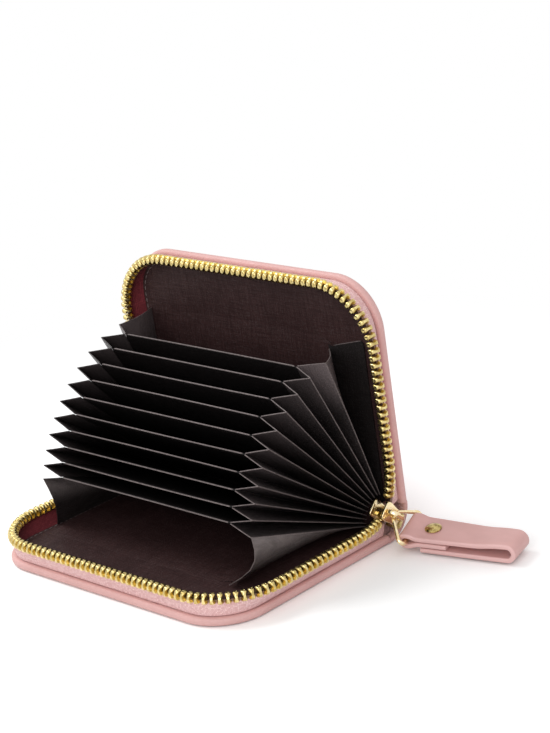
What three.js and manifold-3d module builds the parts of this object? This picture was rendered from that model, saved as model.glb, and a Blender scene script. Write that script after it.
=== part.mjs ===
// Zip-round accordion card wallet, lying open on its lower cover.
// Millimetres, +Z up. X runs along the spine with the zip slider at +X, and -Y is the open front.
// The origin is the centre of the lower cover's underside.
import * as THREE from 'three';
import { mergeVertices } from 'three/addons/utils/BufferGeometryUtils.js';
import Module from 'manifold-3d';

// Covers: two leather panels, hinged on a line at half the closed thickness.
const CASE_LENGTH = 103;
const COVER_DEPTH = 72;
const CLOSED_THICKNESS = 20;
const COVER_CORNER = 16;
const OPEN_ANGLE = 87;
const LEATHER = 0.7;
const BOARD = 0.7;
const EDGE_ROUND = 1.1;
const HEM_WIDTH = 7;
const LINING = 0.55;
const LINING_INSET = 2.8;
const SPINE_LINING_MARGIN = 8.5;

// Clearance between pieces that lie against each other.
const SEAT_GAP = 0.25;

// Zip: woven tape round each half, with teeth on its edge and the ends drawn in to the slider.
const TAPE = 0.8;
const TAPE_FOOT_INSET = 1.9;
const TAPE_START = 1.4;
const RIM_OVERHANG = 1.5;
const RIM_FRONT_INSET = 1;
const RIM_CORNER = 20;
const RIM_DRAW_IN = 2.5;
const RIM_DRAW_LENGTH = 14;
const CHAIN_START = 3.4;
const TOOTH_PITCH = 2.23;
const TOOTH_LENGTH = 1.45;
const TOOTH_HEIGHT = 2.8;
const TOOTH_WIDTH = 3.4;
const TOOTH_HEAD_WIDTH = 1.7;
const TOOTH_FOOT_WIDTH = 2.9;
const TOOTH_SHOULDER = 1.15;
const TOOTH_CLEAR = 0.15;
const CORD = 0.9;
const CORD_DEPTH = 2.1;
const STOP_LENGTH = 1.5;
const STOP_WIDTH = 2.9;

// Slider, its hoop and the joined end of the zip behind it.
const SLIDER_MOUTH = 4;
const SLIDER_TAIL = 4.2;
const SLIDER_MOUTH_WIDTH = 6;
const SLIDER_TAIL_WIDTH = 5;
const SLIDER_PLATE = 0.8;
const SLIDER_CHANNEL = 4;
const SLIDER_LIP = 0.6;
const SLIDER_LIP_DEPTH = 0.9;
const SLIDER_LIP_START = 1.2;
const POST_LENGTH = 2.2;
const POST_WIDTH = 1.4;
const BRIDGE_LENGTH = 6.6;
const BRIDGE_HEIGHT = 3.2;
const BRIDGE_WIDTH = 1.4;
const BRIDGE_BAND = 0.9;
const CLOSED_END_LENGTH = 8;
const CLOSED_END_WIDTH = 3.2;
const CLOSED_END_HEIGHT = 3.4;
const CLIP_WALL = 0.4;
const CLIP_LENGTH = 1.5;

// Pull: wire ring, leather strap and rivet.
const WIRE = 1.5;
const RING_LENGTH = 6.8;
const RING_BEND = 1.3;
const RING_NECK = 1.5;
const STRAP_YAW = 15;
const STRAP_ROLL = 12;
const STRAP_WIDTH = 12;
const STRAP_LEATHER = 1.5;
const STRAP_LENGTH = 35;
const STRAP_EDGE = 0.35;
const STRAP_LAYER_GAP = 0.3;
const STRAP_SIDE_GAP = 0.2;
const STRAP_TAB = 13;
const STRAP_EYE_TAPER = 4.2;
const STRAP_LOOP_GAP = 2.8;
const STRAP_LOOP_START = 20;
const RIVET_AT = 7;
const RIVET_CAP = 4.8;
const RIVET_DOME = 1;
const RIVET_POST = 2.4;
const RIVET_BACK = 4.4;
const RIVET_BACK_THICKNESS = 0.6;
const RIVET_GAP = 0.2;
const FLOOR_CLEAR = 0.5;

// Accordion: ten leaves that fan about the cover hinge, joined by pleats at both ends.
const LEAVES = 10;
const LEAF_WIDTH = 73.4;
const LEAF_REACH = 53;
const LEAF_ROOT = 2.5;
const LEAF_CORNER = 2;
const LEAF = 0.45;
const END_PANEL = 0.5;
const FAN_LOW = 20;
const FAN_HIGH = 66;
const FAN_EASE = 0.27;
const PLEAT = 0.3;
const PLEAT_WIDTH = 8.6;
const PLEAT_START = 7;
const PLEAT_CLEAR = 0.3;
const PLEAT_OFFSET = 0.2;
const END_PLEAT_SHARE = 0.22;
const BACK_STRIP = 0.4;

// Facets, and the distance under which two points are one.
const CORNER_STEPS = 5;
const RIM_STEPS = 10;
const ROUND_SIDES = 16;
const WIRE_SIDES = 8;
const RING_STEPS = 44;
const STRAP_STEPS = 6;
const WELD = 1e-4;

const wasm = await Module();
wasm.setup();

const halfThickness = CLOSED_THICKNESS / 2;
const hinge = new THREE.Vector3(0, COVER_DEPTH / 2, halfThickness);
const rad = THREE.MathUtils.degToRad;

// Depths below the closing plane at which each layer of a half begins.
const coverThickness = 2 * LEATHER + BOARD + 2 * SEAT_GAP;
const hemDepth = halfThickness - coverThickness;
const liningDepth = hemDepth - SEAT_GAP - LINING;
const endPanelDepth = liningDepth - SEAT_GAP - END_PANEL;
const toothFootDepth = TOOTH_CLEAR + TOOTH_HEIGHT;

const leather = () => new THREE.MeshStandardMaterial({ color: 0xd3a19d, roughness: 0.55 });
const strapLeather = () => new THREE.MeshStandardMaterial({ color: 0xd6a5a1, roughness: 0.5 });
const boardCard = () => new THREE.MeshStandardMaterial({ color: 0x9a8a78, roughness: 0.9 });
const liningCloth = () => new THREE.MeshStandardMaterial({ color: 0x2a2020, roughness: 0.7 });
const tapeWeave = () => new THREE.MeshStandardMaterial({ color: 0xd9a3a5, roughness: 0.85 });
const brass = () => new THREE.MeshStandardMaterial({ color: 0xd8b45a, roughness: 0.28, metalness: 1 });
const paleGold = () => new THREE.MeshStandardMaterial({ color: 0xe3c891, roughness: 0.25, metalness: 1 });

// Solid helpers

function toSolid(geometry) {
  const bare = geometry.clone();
  bare.deleteAttribute('normal');
  bare.deleteAttribute('uv');
  const merged = mergeVertices(bare, WELD);
  const vertProperties = new Float32Array(merged.attributes.position.array);
  const triVerts = new Uint32Array(merged.index.array);
  return new wasm.Manifold(new wasm.Mesh({ numProp: 3, vertProperties, triVerts }));
}

function toGeometry(solid) {
  const { vertProperties, triVerts } = solid.getMesh();
  return indexedGeometry(vertProperties, triVerts);
}

function indexedGeometry(positions, indices) {
  const geometry = new THREE.BufferGeometry();
  geometry.setAttribute('position', new THREE.Float32BufferAttribute(positions, 3));
  geometry.setIndex(Array.from(indices));
  geometry.computeVertexNormals();
  return geometry;
}

function extrude(shape, from, to) {
  const options = { depth: to - from, bevelEnabled: false, curveSegments: CORNER_STEPS };
  return new THREE.ExtrudeGeometry(shape, options).translate(0, 0, from);
}

function box(x0, x1, y0, y1, z0, z1) {
  const geometry = new THREE.BoxGeometry(x1 - x0, y1 - y0, z1 - z0);
  return geometry.translate((x0 + x1) / 2, (y0 + y1) / 2, (z0 + z1) / 2);
}

// Turns a profile drawn in the YZ plane and extruded along Z into one extruded along X.
function alongX(geometry) {
  const basis = new THREE.Matrix4();
  basis.makeBasis(new THREE.Vector3(0, 1, 0), new THREE.Vector3(0, 0, 1), new THREE.Vector3(1, 0, 0));
  return geometry.applyMatrix4(basis);
}

// Skins a row of equal rings and caps its ends. Rings run anticlockwise seen from the far end.
// The sides named in crossed are split along their other diagonal.
function loft(rings, capFaces, crossed = []) {
  const count = rings[0].length;
  const positions = rings.flat().flatMap((point) => point.toArray());
  const indices = [];
  for (let row = 0; row + 1 < rings.length; row += 1) {
    for (let i = 0; i < count; i += 1) {
      const a = row * count + i;
      const b = row * count + (i + 1) % count;
      if (crossed.includes(i)) indices.push(a, b, a + count, b, b + count, a + count);
      else indices.push(a, b, b + count, a, b + count, a + count);
    }
  }
  const last = (rings.length - 1) * count;
  for (const [a, b, c] of capFaces) {
    indices.push(a, c, b);
    indices.push(last + a, last + b, last + c);
  }
  return indexedGeometry(positions, indices);
}

function mesh(name, geometry, material) {
  const piece = new THREE.Mesh(geometry, material);
  piece.name = name;
  return piece;
}

// One half of the case, in its own frame: X along the spine, Y forward from the hinge,
// Z outward from the closing plane to the cover's outer face.

function panelShape(inset, corner, back) {
  const side = CASE_LENGTH / 2 - inset;
  const front = COVER_DEPTH - inset;
  const shape = new THREE.Shape();
  shape.moveTo(-side, back);
  shape.lineTo(side, back);
  shape.absarc(side - corner, front - corner, corner, 0, Math.PI / 2, false);
  shape.absarc(corner - side, front - corner, corner, Math.PI / 2, Math.PI, false);
  shape.closePath();
  return shape;
}

// The leather is turned in round the board, so the panel has a pocket with a hem round its mouth.
function coverGeometry() {
  const overrun = 4 * EDGE_ROUND;
  const options = {
    depth: coverThickness - 2 * EDGE_ROUND,
    bevelThickness: EDGE_ROUND,
    bevelSize: EDGE_ROUND,
    bevelSegments: 3,
    curveSegments: CORNER_STEPS,
  };
  const outline = panelShape(EDGE_ROUND, COVER_CORNER - EDGE_ROUND, -overrun);
  const slab = new THREE.ExtrudeGeometry(outline, options).translate(0, 0, hemDepth + EDGE_ROUND);
  const wallInset = LEATHER + SEAT_GAP;
  const pocket = panelShape(wallInset, COVER_CORNER - wallInset, wallInset);
  const mouth = panelShape(HEM_WIDTH, COVER_CORNER - HEM_WIDTH, wallInset);
  const boardFrom = hemDepth + LEATHER;
  const boardTo = halfThickness - LEATHER;
  const behind = box(-CASE_LENGTH, CASE_LENGTH, -CASE_LENGTH, 0, 0, CLOSED_THICKNESS);
  const solid = toSolid(slab)
    .subtract(toSolid(behind))
    .subtract(toSolid(extrude(pocket, boardFrom, boardTo)))
    .subtract(toSolid(extrude(mouth, hemDepth - LEATHER, boardTo)));
  return toGeometry(solid);
}

function boardGeometry() {
  const inset = LEATHER + 2 * SEAT_GAP;
  const from = hemDepth + LEATHER + SEAT_GAP;
  return extrude(panelShape(inset, COVER_CORNER - inset, inset), from, from + BOARD);
}

function liningGeometry() {
  const shape = panelShape(LINING_INSET, COVER_CORNER - LINING_INSET, 0);
  return extrude(shape, liningDepth, liningDepth + LINING);
}

function endPanelGeometry() {
  const side = LEAF_WIDTH / 2 + PLEAT_WIDTH;
  return extrude(leafShape(side, 0), endPanelDepth, endPanelDepth + END_PANEL);
}

// The line that the tape follows, from the end by the hinge on one side round to the other.
function rimPath(sideInset, frontInset, corner, drawIn, start) {
  const side = CASE_LENGTH / 2 - sideInset;
  const front = COVER_DEPTH - frontInset;
  const path = new THREE.Path();
  path.moveTo(side - drawIn, start);
  path.quadraticCurveTo(side, start + RIM_DRAW_LENGTH / 2, side, start + RIM_DRAW_LENGTH);
  path.absarc(side - corner, front - corner, corner, 0, Math.PI / 2, false);
  path.absarc(corner - side, front - corner, corner, Math.PI / 2, Math.PI, false);
  path.lineTo(-side, start + RIM_DRAW_LENGTH);
  path.quadraticCurveTo(-side, start + RIM_DRAW_LENGTH / 2, drawIn - side, start);
  return path;
}

// Points and directions along a path. Where two of its curves meet, it can hold a line of no length.
function pathStations(path, lineSteps, curveSteps) {
  const stations = [];
  for (const curve of path.curves.filter((piece) => piece.getLength() > WELD)) {
    const steps = curve.isLineCurve ? lineSteps : curveSteps;
    for (let i = stations.length ? 1 : 0; i <= steps; i += 1) {
      stations.push({ point: curve.getPoint(i / steps), tangent: curve.getTangent(i / steps) });
    }
  }
  return stations;
}

function tapeGeometry() {
  const footCorner = COVER_CORNER - TAPE_FOOT_INSET;
  const footPath = rimPath(TAPE_FOOT_INSET, TAPE_FOOT_INSET, footCorner, 0, TAPE_START);
  const edgePath = rimPath(-RIM_OVERHANG, RIM_FRONT_INSET, RIM_CORNER, RIM_DRAW_IN, TAPE_START);
  const foot = pathStations(footPath, 1, RIM_STEPS);
  const edge = pathStations(edgePath, 1, RIM_STEPS);
  const footDepth = hemDepth - SEAT_GAP;
  const edgeDepth = toothFootDepth + SEAT_GAP;
  const offset = ({ point, tangent }, across, depth) =>
    new THREE.Vector3(point.x - tangent.y * across, point.y + tangent.x * across, depth);
  const rings = foot.map((station, i) => [
    offset(edge[i], -TAPE / 2, edgeDepth),
    offset(edge[i], TAPE / 2, edgeDepth),
    offset(station, TAPE / 2, footDepth),
    offset(station, -TAPE / 2, footDepth),
  ]);
  return loft(rings, [[0, 1, 2], [0, 2, 3]]);
}

// Metal teeth on a cord: every tooth is a prism, and the cord runs through all of them.
// The row starts a quarter pitch off centre, so that two facing rows mesh half a pitch apart.
function teethGeometry() {
  const path = rimPath(-RIM_OVERHANG, RIM_FRONT_INSET, RIM_CORNER, RIM_DRAW_IN, CHAIN_START);
  const length = path.getLength();
  const count = Math.floor((length - TOOTH_LENGTH) / TOOTH_PITCH + 0.5);
  const first = length / 2 - (count / 2 - 0.25) * TOOTH_PITCH;
  const tooth = [
    [-TOOTH_HEAD_WIDTH / 2, TOOTH_CLEAR],
    [TOOTH_HEAD_WIDTH / 2, TOOTH_CLEAR],
    [TOOTH_WIDTH / 2, TOOTH_CLEAR + TOOTH_SHOULDER],
    [TOOTH_FOOT_WIDTH / 2, toothFootDepth],
    [-TOOTH_FOOT_WIDTH / 2, toothFootDepth],
    [-TOOTH_WIDTH / 2, TOOTH_CLEAR + TOOTH_SHOULDER],
  ].map(([across, depth]) => new THREE.Vector2(across, depth));
  const cord = [[-1, -1], [1, -1], [1, 1], [-1, 1]]
    .map(([a, b]) => new THREE.Vector2((a * CORD) / 2, CORD_DEPTH + (b * CORD) / 2));
  const plainEnd = THREE.ShapeUtils.triangulateShape(tooth, []);
  const pierced = THREE.ShapeUtils.triangulateShape(tooth, [[...cord].reverse()]);
  const holeIndex = [9, 8, 7, 6];
  const section = [...tooth, ...[...cord].reverse()];
  const ring = section.length;
  const positions = [];
  const indices = [];
  const quad = (a, b, c, d) => indices.push(a, b, c, a, c, d);
  for (let i = 0; i < count; i += 1) {
    const at = (first + i * TOOTH_PITCH) / length;
    const point = path.getPoint(at);
    const tangent = path.getTangent(at);
    for (const along of [-TOOTH_LENGTH / 2, TOOTH_LENGTH / 2]) {
      for (const { x: across, y: depth } of section) {
        positions.push(
          point.x + tangent.x * along - tangent.y * across,
          point.y + tangent.y * along + tangent.x * across,
          depth,
        );
      }
    }
    const near = 2 * i * ring;
    const far = near + ring;
    for (let j = 0; j < tooth.length; j += 1) {
      const k = (j + 1) % tooth.length;
      quad(near + j, near + k, far + k, far + j);
    }
    for (const [a, b, c] of i === 0 ? plainEnd : pierced) {
      indices.push(near + a, near + c, near + b);
    }
    for (const [a, b, c] of i === count - 1 ? plainEnd : pierced) {
      indices.push(far + a, far + b, far + c);
    }
    if (i < count - 1) {
      for (let j = 0; j < holeIndex.length; j += 1) {
        const a = holeIndex[j];
        const b = holeIndex[(j + 1) % holeIndex.length];
        quad(far + a, far + b, far + ring + b, far + ring + a);
      }
    }
  }
  return indexedGeometry(positions, indices);
}

// A clip folded over the end of the tape, beyond the last tooth.
function topStopGeometry(sideSign) {
  const middle = sideSign * (CASE_LENGTH / 2 + RIM_OVERHANG - RIM_DRAW_IN);
  const to = CHAIN_START - SEAT_GAP;
  const low = TOOTH_CLEAR + TOOTH_SHOULDER / 2;
  return box(middle - STOP_WIDTH / 2, middle + STOP_WIDTH / 2, to - STOP_LENGTH, to, low, toothFootDepth);
}

function halfPieces(prefix, stopSide) {
  return [
    mesh(`${prefix}_cover`, coverGeometry(), leather()),
    mesh(`${prefix}_board`, boardGeometry(), boardCard()),
    mesh(`${prefix}_lining`, liningGeometry(), liningCloth()),
    mesh(`${prefix}_end_panel`, endPanelGeometry(), liningCloth()),
    mesh(`${prefix}_zip_tape`, tapeGeometry(), tapeWeave()),
    mesh(`${prefix}_zip_teeth`, teethGeometry(), brass()),
    mesh(`${prefix}_top_stop`, topStopGeometry(stopSide), brass()),
  ];
}

// Spine: bands bent round the hinge line, from the lower cover's back edge to the upper's.

function bentBand(name, outerRadius, thickness, length, material) {
  const from = rad(-90) + SEAT_GAP / outerRadius;
  const to = rad(90 - OPEN_ANGLE) - SEAT_GAP / outerRadius;
  const shape = new THREE.Shape();
  shape.absarc(0, 0, outerRadius, from, to, false);
  shape.absarc(0, 0, outerRadius - thickness, to, from, true);
  shape.closePath();
  const band = alongX(extrude(shape, -length / 2, length / 2));
  return mesh(name, band, material);
}

function spinePieces() {
  const liningLength = CASE_LENGTH - 2 * SPINE_LINING_MARGIN;
  return [
    bentBand('spine', halfThickness, LEATHER, CASE_LENGTH, leather()),
    bentBand('spine_lining', liningDepth + LINING, LINING, liningLength, liningCloth()),
  ];
}

// Accordion. Leaf 0 and leaf LEAVES + 1 are the end panels on the two linings.

const leafPitch = (2 * endPanelDepth) / (LEAVES + 1);

function leafAngle(number) {
  if (number === 0) return 0;
  if (number > LEAVES) return rad(OPEN_ANGLE);
  const t = (number - 1) / (LEAVES - 1);
  return rad(FAN_LOW + (FAN_HIGH - FAN_LOW) * (t + FAN_EASE * t * (t - 1)));
}

function leafOffset(number) {
  return (number - (LEAVES + 1) / 2) * leafPitch;
}

// A point of a leaf's plane beside the hinge line: reach forward along it, lift off it.
function leafPoint(number, reach, lift) {
  const angle = leafAngle(number);
  const offset = leafOffset(number) + lift;
  return new THREE.Vector2(
    -reach * Math.cos(angle) + offset * Math.sin(angle),
    reach * Math.sin(angle) + offset * Math.cos(angle),
  );
}

// A leaf drawn forward from its root, with its two front corners rounded.
function leafShape(side, root) {
  const shape = new THREE.Shape();
  shape.moveTo(-side, root);
  shape.lineTo(side, root);
  shape.absarc(side - LEAF_CORNER, LEAF_REACH - LEAF_CORNER, LEAF_CORNER, 0, Math.PI / 2, false);
  shape.absarc(LEAF_CORNER - side, LEAF_REACH - LEAF_CORNER, LEAF_CORNER, Math.PI / 2, Math.PI, false);
  shape.closePath();
  return shape;
}

function numbered(prefix, number) {
  return `${prefix}_${String(number).padStart(2, '0')}`;
}

function dividerPiece(number) {
  const geometry = extrude(leafShape(LEAF_WIDTH / 2, -LEAF_ROOT), -LEAF / 2, LEAF / 2);
  geometry.rotateX(Math.PI).translate(0, 0, leafOffset(number));
  const divider = mesh(numbered('divider', number), geometry, liningCloth());
  divider.rotation.x = -leafAngle(number);
  return divider;
}

// A pleat between two neighbouring leaves: two panels that meet in a fold outside the leaves' ends.
// On the end panels the fold stays close to the nearest leaf, and the far panel spans the wide gap.
function pleatRing(lower, reach, side) {
  const upper = lower + 1;
  const from = leafPoint(lower, reach, lower === 0 ? SEAT_GAP : PLEAT_OFFSET);
  const to = leafPoint(upper, reach, upper > LEAVES ? -SEAT_GAP : -PLEAT_OFFSET);
  const gap = from.distanceTo(to);
  const across = to.clone().sub(from).divideScalar(gap);
  let share = 0.5;
  if (lower === 0) share = 1 - END_PLEAT_SHARE;
  if (upper > LEAVES) share = END_PLEAT_SHARE;
  const first = share * gap;
  const second = gap - first;
  const fold = Math.sqrt(PLEAT_WIDTH ** 2 - Math.min(first, second) ** 2);
  const firstWidth = Math.hypot(fold, first);
  const secondWidth = Math.hypot(fold, second);
  const firstNormal = new THREE.Vector2(-first, fold).divideScalar(firstWidth);
  const secondNormal = new THREE.Vector2(-second, -fold).divideScalar(secondWidth);
  const tip = new THREE.Vector2(fold, first);
  const innerTip = firstNormal.clone().add(secondNormal)
    .multiplyScalar(PLEAT / (1 + firstNormal.dot(secondNormal))).add(tip);
  const outline = [
    new THREE.Vector2(0, 0),
    tip,
    new THREE.Vector2(0, gap),
    new THREE.Vector2(0, gap - (PLEAT * secondWidth) / fold),
    innerTip,
    new THREE.Vector2(0, (PLEAT * firstWidth) / fold),
  ];
  return outline.map(({ x: out, y: along }) => {
    const { x: y, y: z } = from.clone().addScaledVector(across, along);
    return new THREE.Vector3(side * (LEAF_WIDTH / 2 + PLEAT_CLEAR + out), y, z);
  });
}

// Both faces of a panel are split along the same diagonal, so that a twisted panel keeps its thickness.
function pleatPiece(prefix, lower, side) {
  const middle = (PLEAT_START + LEAF_REACH) / 2;
  const rings = [PLEAT_START, middle, LEAF_REACH].map((reach) => pleatRing(lower, reach, side));
  const capFaces = [[0, 1, 4], [0, 4, 5], [1, 2, 3], [1, 3, 4]];
  const innerSides = [3, 4];
  if (side < 0) rings.reverse();
  return mesh(numbered(prefix, lower + 1), loft(rings, capFaces, innerSides), liningCloth());
}

// The strip that closes the bottoms of the pockets, just behind the roots of the leaves.
function accordionBack() {
  const behind = -LEAF_ROOT - SEAT_GAP;
  const numbers = Array.from({ length: LEAVES }, (_, i) => i + 1);
  const inner = numbers.map((number) => leafPoint(number, behind, 0));
  const outer = numbers.map((number) => leafPoint(number, behind - BACK_STRIP, 0));
  const profile = new THREE.Shape([...outer, ...inner.reverse()]);
  const strip = alongX(extrude(profile, -LEAF_WIDTH / 2, LEAF_WIDTH / 2));
  return mesh('accordion_back', strip, liningCloth());
}

function accordionPieces() {
  const pieces = [accordionBack()];
  for (let number = 1; number <= LEAVES; number += 1) pieces.push(dividerPiece(number));
  for (let lower = 0; lower <= LEAVES; lower += 1) {
    pieces.push(pleatPiece('left_gusset', lower, -1));
    pieces.push(pleatPiece('right_gusset', lower, 1));
  }
  return pieces;
}

// Slider, in its own frame on the hinge line: X outward, Y to the joined end, Z across the two chains.

const sliderX = CASE_LENGTH / 2 + RIM_OVERHANG - RIM_DRAW_IN;
const plateFrom = SLIDER_CHANNEL / 2;
const plateTo = plateFrom + SLIDER_PLATE;

function sliderPlateShape() {
  const mouth = SLIDER_MOUTH_WIDTH / 2;
  const tail = SLIDER_TAIL_WIDTH / 2;
  const shape = new THREE.Shape();
  shape.moveTo(-SLIDER_MOUTH, -mouth * 0.6);
  shape.quadraticCurveTo(-SLIDER_MOUTH, -mouth, -SLIDER_MOUTH / 2, -mouth);
  shape.lineTo(SLIDER_LIP_START, -tail);
  shape.lineTo(SLIDER_TAIL - tail / 2, -tail);
  shape.quadraticCurveTo(SLIDER_TAIL, -tail, SLIDER_TAIL, 0);
  shape.quadraticCurveTo(SLIDER_TAIL, tail, SLIDER_TAIL - tail / 2, tail);
  shape.lineTo(SLIDER_LIP_START, tail);
  shape.lineTo(-SLIDER_MOUTH / 2, mouth);
  shape.quadraticCurveTo(-SLIDER_MOUTH, mouth, -SLIDER_MOUTH, mouth * 0.6);
  shape.closePath();
  return shape;
}

function sliderBody() {
  const shape = sliderPlateShape();
  const tail = SLIDER_TAIL_WIDTH / 2;
  const lipEnd = SLIDER_TAIL - tail / 2;
  const sink = SLIDER_PLATE / 2;
  const post = new THREE.Shape();
  post.moveTo(-SLIDER_MOUTH + SLIDER_PLATE, 0);
  post.lineTo(-SLIDER_MOUTH + SLIDER_PLATE + POST_LENGTH / 2, -POST_WIDTH / 2);
  post.lineTo(-SLIDER_MOUTH + SLIDER_PLATE + POST_LENGTH, 0);
  post.lineTo(-SLIDER_MOUTH + SLIDER_PLATE + POST_LENGTH / 2, POST_WIDTH / 2);
  post.closePath();
  let solid = toSolid(alongX(extrude(shape, plateFrom, plateTo)))
    .add(toSolid(alongX(extrude(shape, -plateTo, -plateFrom))))
    .add(toSolid(alongX(extrude(post, -plateFrom - sink, plateFrom + sink))));
  for (const x of [-1, 1]) {
    for (const z of [-1, 1]) {
      const [x0, x1] = [x * (plateFrom - SLIDER_LIP_DEPTH), x * (plateFrom + sink)].sort((a, b) => a - b);
      const [z0, z1] = [z * (tail - SLIDER_LIP), z * tail].sort((a, b) => a - b);
      solid = solid.add(toSolid(box(x0, x1, SLIDER_LIP_START, lipEnd, z0, z1)));
    }
  }
  return mesh('slider_body', toGeometry(solid), paleGold());
}

// A hoop over the outer plate, which the ring passes through.
function archPoints(reach, top) {
  const arch = new THREE.Path();
  arch.moveTo(-reach, 0);
  arch.bezierCurveTo(-reach, top * 0.75, -reach * 0.75, top, -reach * 0.3, top);
  arch.lineTo(reach * 0.3, top);
  arch.bezierCurveTo(reach * 0.75, top, reach, top * 0.75, reach, 0);
  return arch.getPoints(CORNER_STEPS);
}

function sliderBridge() {
  const outer = archPoints(BRIDGE_LENGTH / 2, BRIDGE_HEIGHT);
  const inner = archPoints(BRIDGE_LENGTH / 2 - BRIDGE_BAND, BRIDGE_HEIGHT - BRIDGE_BAND);
  const band = new THREE.Shape([...outer, ...inner.reverse()]);
  const hoop = extrude(band, -BRIDGE_WIDTH / 2, BRIDGE_WIDTH / 2);
  const basis = new THREE.Matrix4();
  basis.makeBasis(new THREE.Vector3(0, 1, 0), new THREE.Vector3(1, 0, 0), new THREE.Vector3(0, 0, -1));
  hoop.applyMatrix4(basis).translate(plateTo + SEAT_GAP, 0, 0);
  return mesh('slider_bridge', hoop, paleGold());
}

function closedEnd() {
  const w = CLOSED_END_WIDTH / 2;
  const h = CLOSED_END_HEIGHT / 2;
  return mesh('zip_closed_end', box(-w, w, 0, CLOSED_END_LENGTH, -h, h), brass());
}

function bottomStop() {
  const inner = { x: CLOSED_END_WIDTH / 2 + SEAT_GAP, y: CLOSED_END_HEIGHT / 2 + SEAT_GAP };
  const outer = { x: inner.x + CLIP_WALL, y: inner.y + CLIP_WALL };
  const frame = ({ x, y }, path) => {
    path.moveTo(-x, -y);
    path.lineTo(x, -y);
    path.lineTo(x, y);
    path.lineTo(-x, y);
    path.closePath();
    return path;
  };
  const shape = frame(outer, new THREE.Shape());
  shape.holes.push(frame(inner, new THREE.Path()));
  const clip = extrude(shape, 0, CLIP_LENGTH).rotateX(-Math.PI / 2);
  const from = CLOSED_END_LENGTH - 2 * CLIP_LENGTH;
  return mesh('zip_bottom_stop', clip.translate(0, from, 0), brass());
}

// Pull. The ring hangs from the hoop and holds the strap, which lies beside the case on the floor.
// The strap's frame: X along it from the ring, Y up, Z across it to the front.

const underMid = STRAP_LEATHER / 2;
const tabMid = underMid + STRAP_LEATHER + STRAP_LAYER_GAP;
const topMid = tabMid + STRAP_LEATHER + STRAP_LAYER_GAP;
const eyeMid = (tabMid + topMid) / 2;
const eyeRadius = WIRE / 2 + STRAP_LAYER_GAP + STRAP_LEATHER / 2;

// The strap is turned about its length at the ring and lies flat at its loop.
function strapRoll(along) {
  const share = THREE.MathUtils.clamp(along / STRAP_LENGTH, 0, 1);
  return rad(STRAP_ROLL) * (1 - share);
}

function strapLift(along) {
  return (STRAP_WIDTH / 2) * Math.sin(strapRoll(along));
}

const strapAlong = new THREE.Vector3(Math.cos(rad(STRAP_YAW)), Math.sin(rad(STRAP_YAW)), 0);
const strapAcross = strapAlong.clone().cross(new THREE.Vector3(0, 0, 1));
const ringRoll = strapRoll(0);
const barAlong = strapAcross.clone().multiplyScalar(-Math.cos(ringRoll));
barAlong.z += Math.sin(ringRoll);
const rolledUp = strapAcross.clone().multiplyScalar(Math.sin(ringRoll));
rolledUp.z += Math.cos(ringRoll);

const bridgeHole = plateTo + SEAT_GAP + (BRIDGE_HEIGHT - BRIDGE_BAND) / 2;
const ringTop = new THREE.Vector3(sliderX + bridgeHole, hinge.y, hinge.z);
const barHeight = FLOOR_CLEAR + eyeMid + strapLift(0);
const ringSlope = Math.asin((ringTop.z - barHeight) / (RING_LENGTH * Math.cos(ringRoll)));
const ringUp = strapAlong.clone().multiplyScalar(-Math.cos(ringSlope));
ringUp.addScaledVector(rolledUp, Math.sin(ringSlope));
const ringBar = ringTop.clone().addScaledVector(ringUp, -RING_LENGTH);

// A flat wire loop, straight where the strap lies and narrow where it passes the hoop.
function pullRing() {
  const foot = STRAP_WIDTH / 2 + STRAP_SIDE_GAP;
  const top = RING_LENGTH - RING_BEND;
  const lean = Math.atan2(foot - RING_NECK, top - RING_BEND);
  const loop = new THREE.Path();
  loop.absarc(foot, RING_BEND, RING_BEND, -Math.PI / 2, lean, false);
  loop.absarc(RING_NECK, top, RING_BEND, lean, Math.PI / 2, false);
  loop.absarc(-RING_NECK, top, RING_BEND, Math.PI / 2, Math.PI - lean, false);
  loop.absarc(-foot, RING_BEND, RING_BEND, Math.PI - lean, 1.5 * Math.PI, false);
  loop.closePath();
  const points = loop.getSpacedPoints(RING_STEPS).slice(0, -1);
  const curve = new THREE.CatmullRomCurve3(points.map(({ x, y }) => new THREE.Vector3(x, y, 0)), true);
  const wire = new THREE.TubeGeometry(curve, RING_STEPS, WIRE / 2, WIRE_SIDES, true);
  const ring = mesh('pull_ring', wire, paleGold());
  const basis = new THREE.Matrix4().makeBasis(barAlong, ringUp, barAlong.clone().cross(ringUp));
  ring.setRotationFromMatrix(basis);
  ring.position.copy(ringBar);
  return ring;
}

// The strap's middle line: from the tab's end round the ring, out to the loop and back underneath.
function strapLine() {
  const loopRadius = (STRAP_LEATHER + STRAP_LOOP_GAP) / 2;
  const loopMid = underMid + loopRadius;
  const loopEnd = STRAP_LENGTH - loopRadius - STRAP_LEATHER / 2;
  const bend = STRAP_EYE_TAPER / 2;
  const rise = (loopEnd + STRAP_LOOP_START) / 2;
  const line = new THREE.Path();
  line.moveTo(STRAP_TAB, tabMid);
  line.lineTo(STRAP_EYE_TAPER, tabMid);
  line.bezierCurveTo(bend, tabMid, bend, eyeMid - eyeRadius, 0, eyeMid - eyeRadius);
  line.absarc(0, eyeMid, eyeRadius, -Math.PI / 2, -1.5 * Math.PI, true);
  line.bezierCurveTo(bend, eyeMid + eyeRadius, bend, topMid, STRAP_EYE_TAPER, topMid);
  line.lineTo(STRAP_LOOP_START, topMid);
  line.bezierCurveTo(rise, topMid, rise, loopMid + loopRadius, loopEnd, loopMid + loopRadius);
  line.absarc(loopEnd, loopMid, loopRadius, Math.PI / 2, -Math.PI / 2, true);
  line.lineTo(STRAP_EYE_TAPER + STRAP_LAYER_GAP, underMid);
  return line;
}

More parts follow.
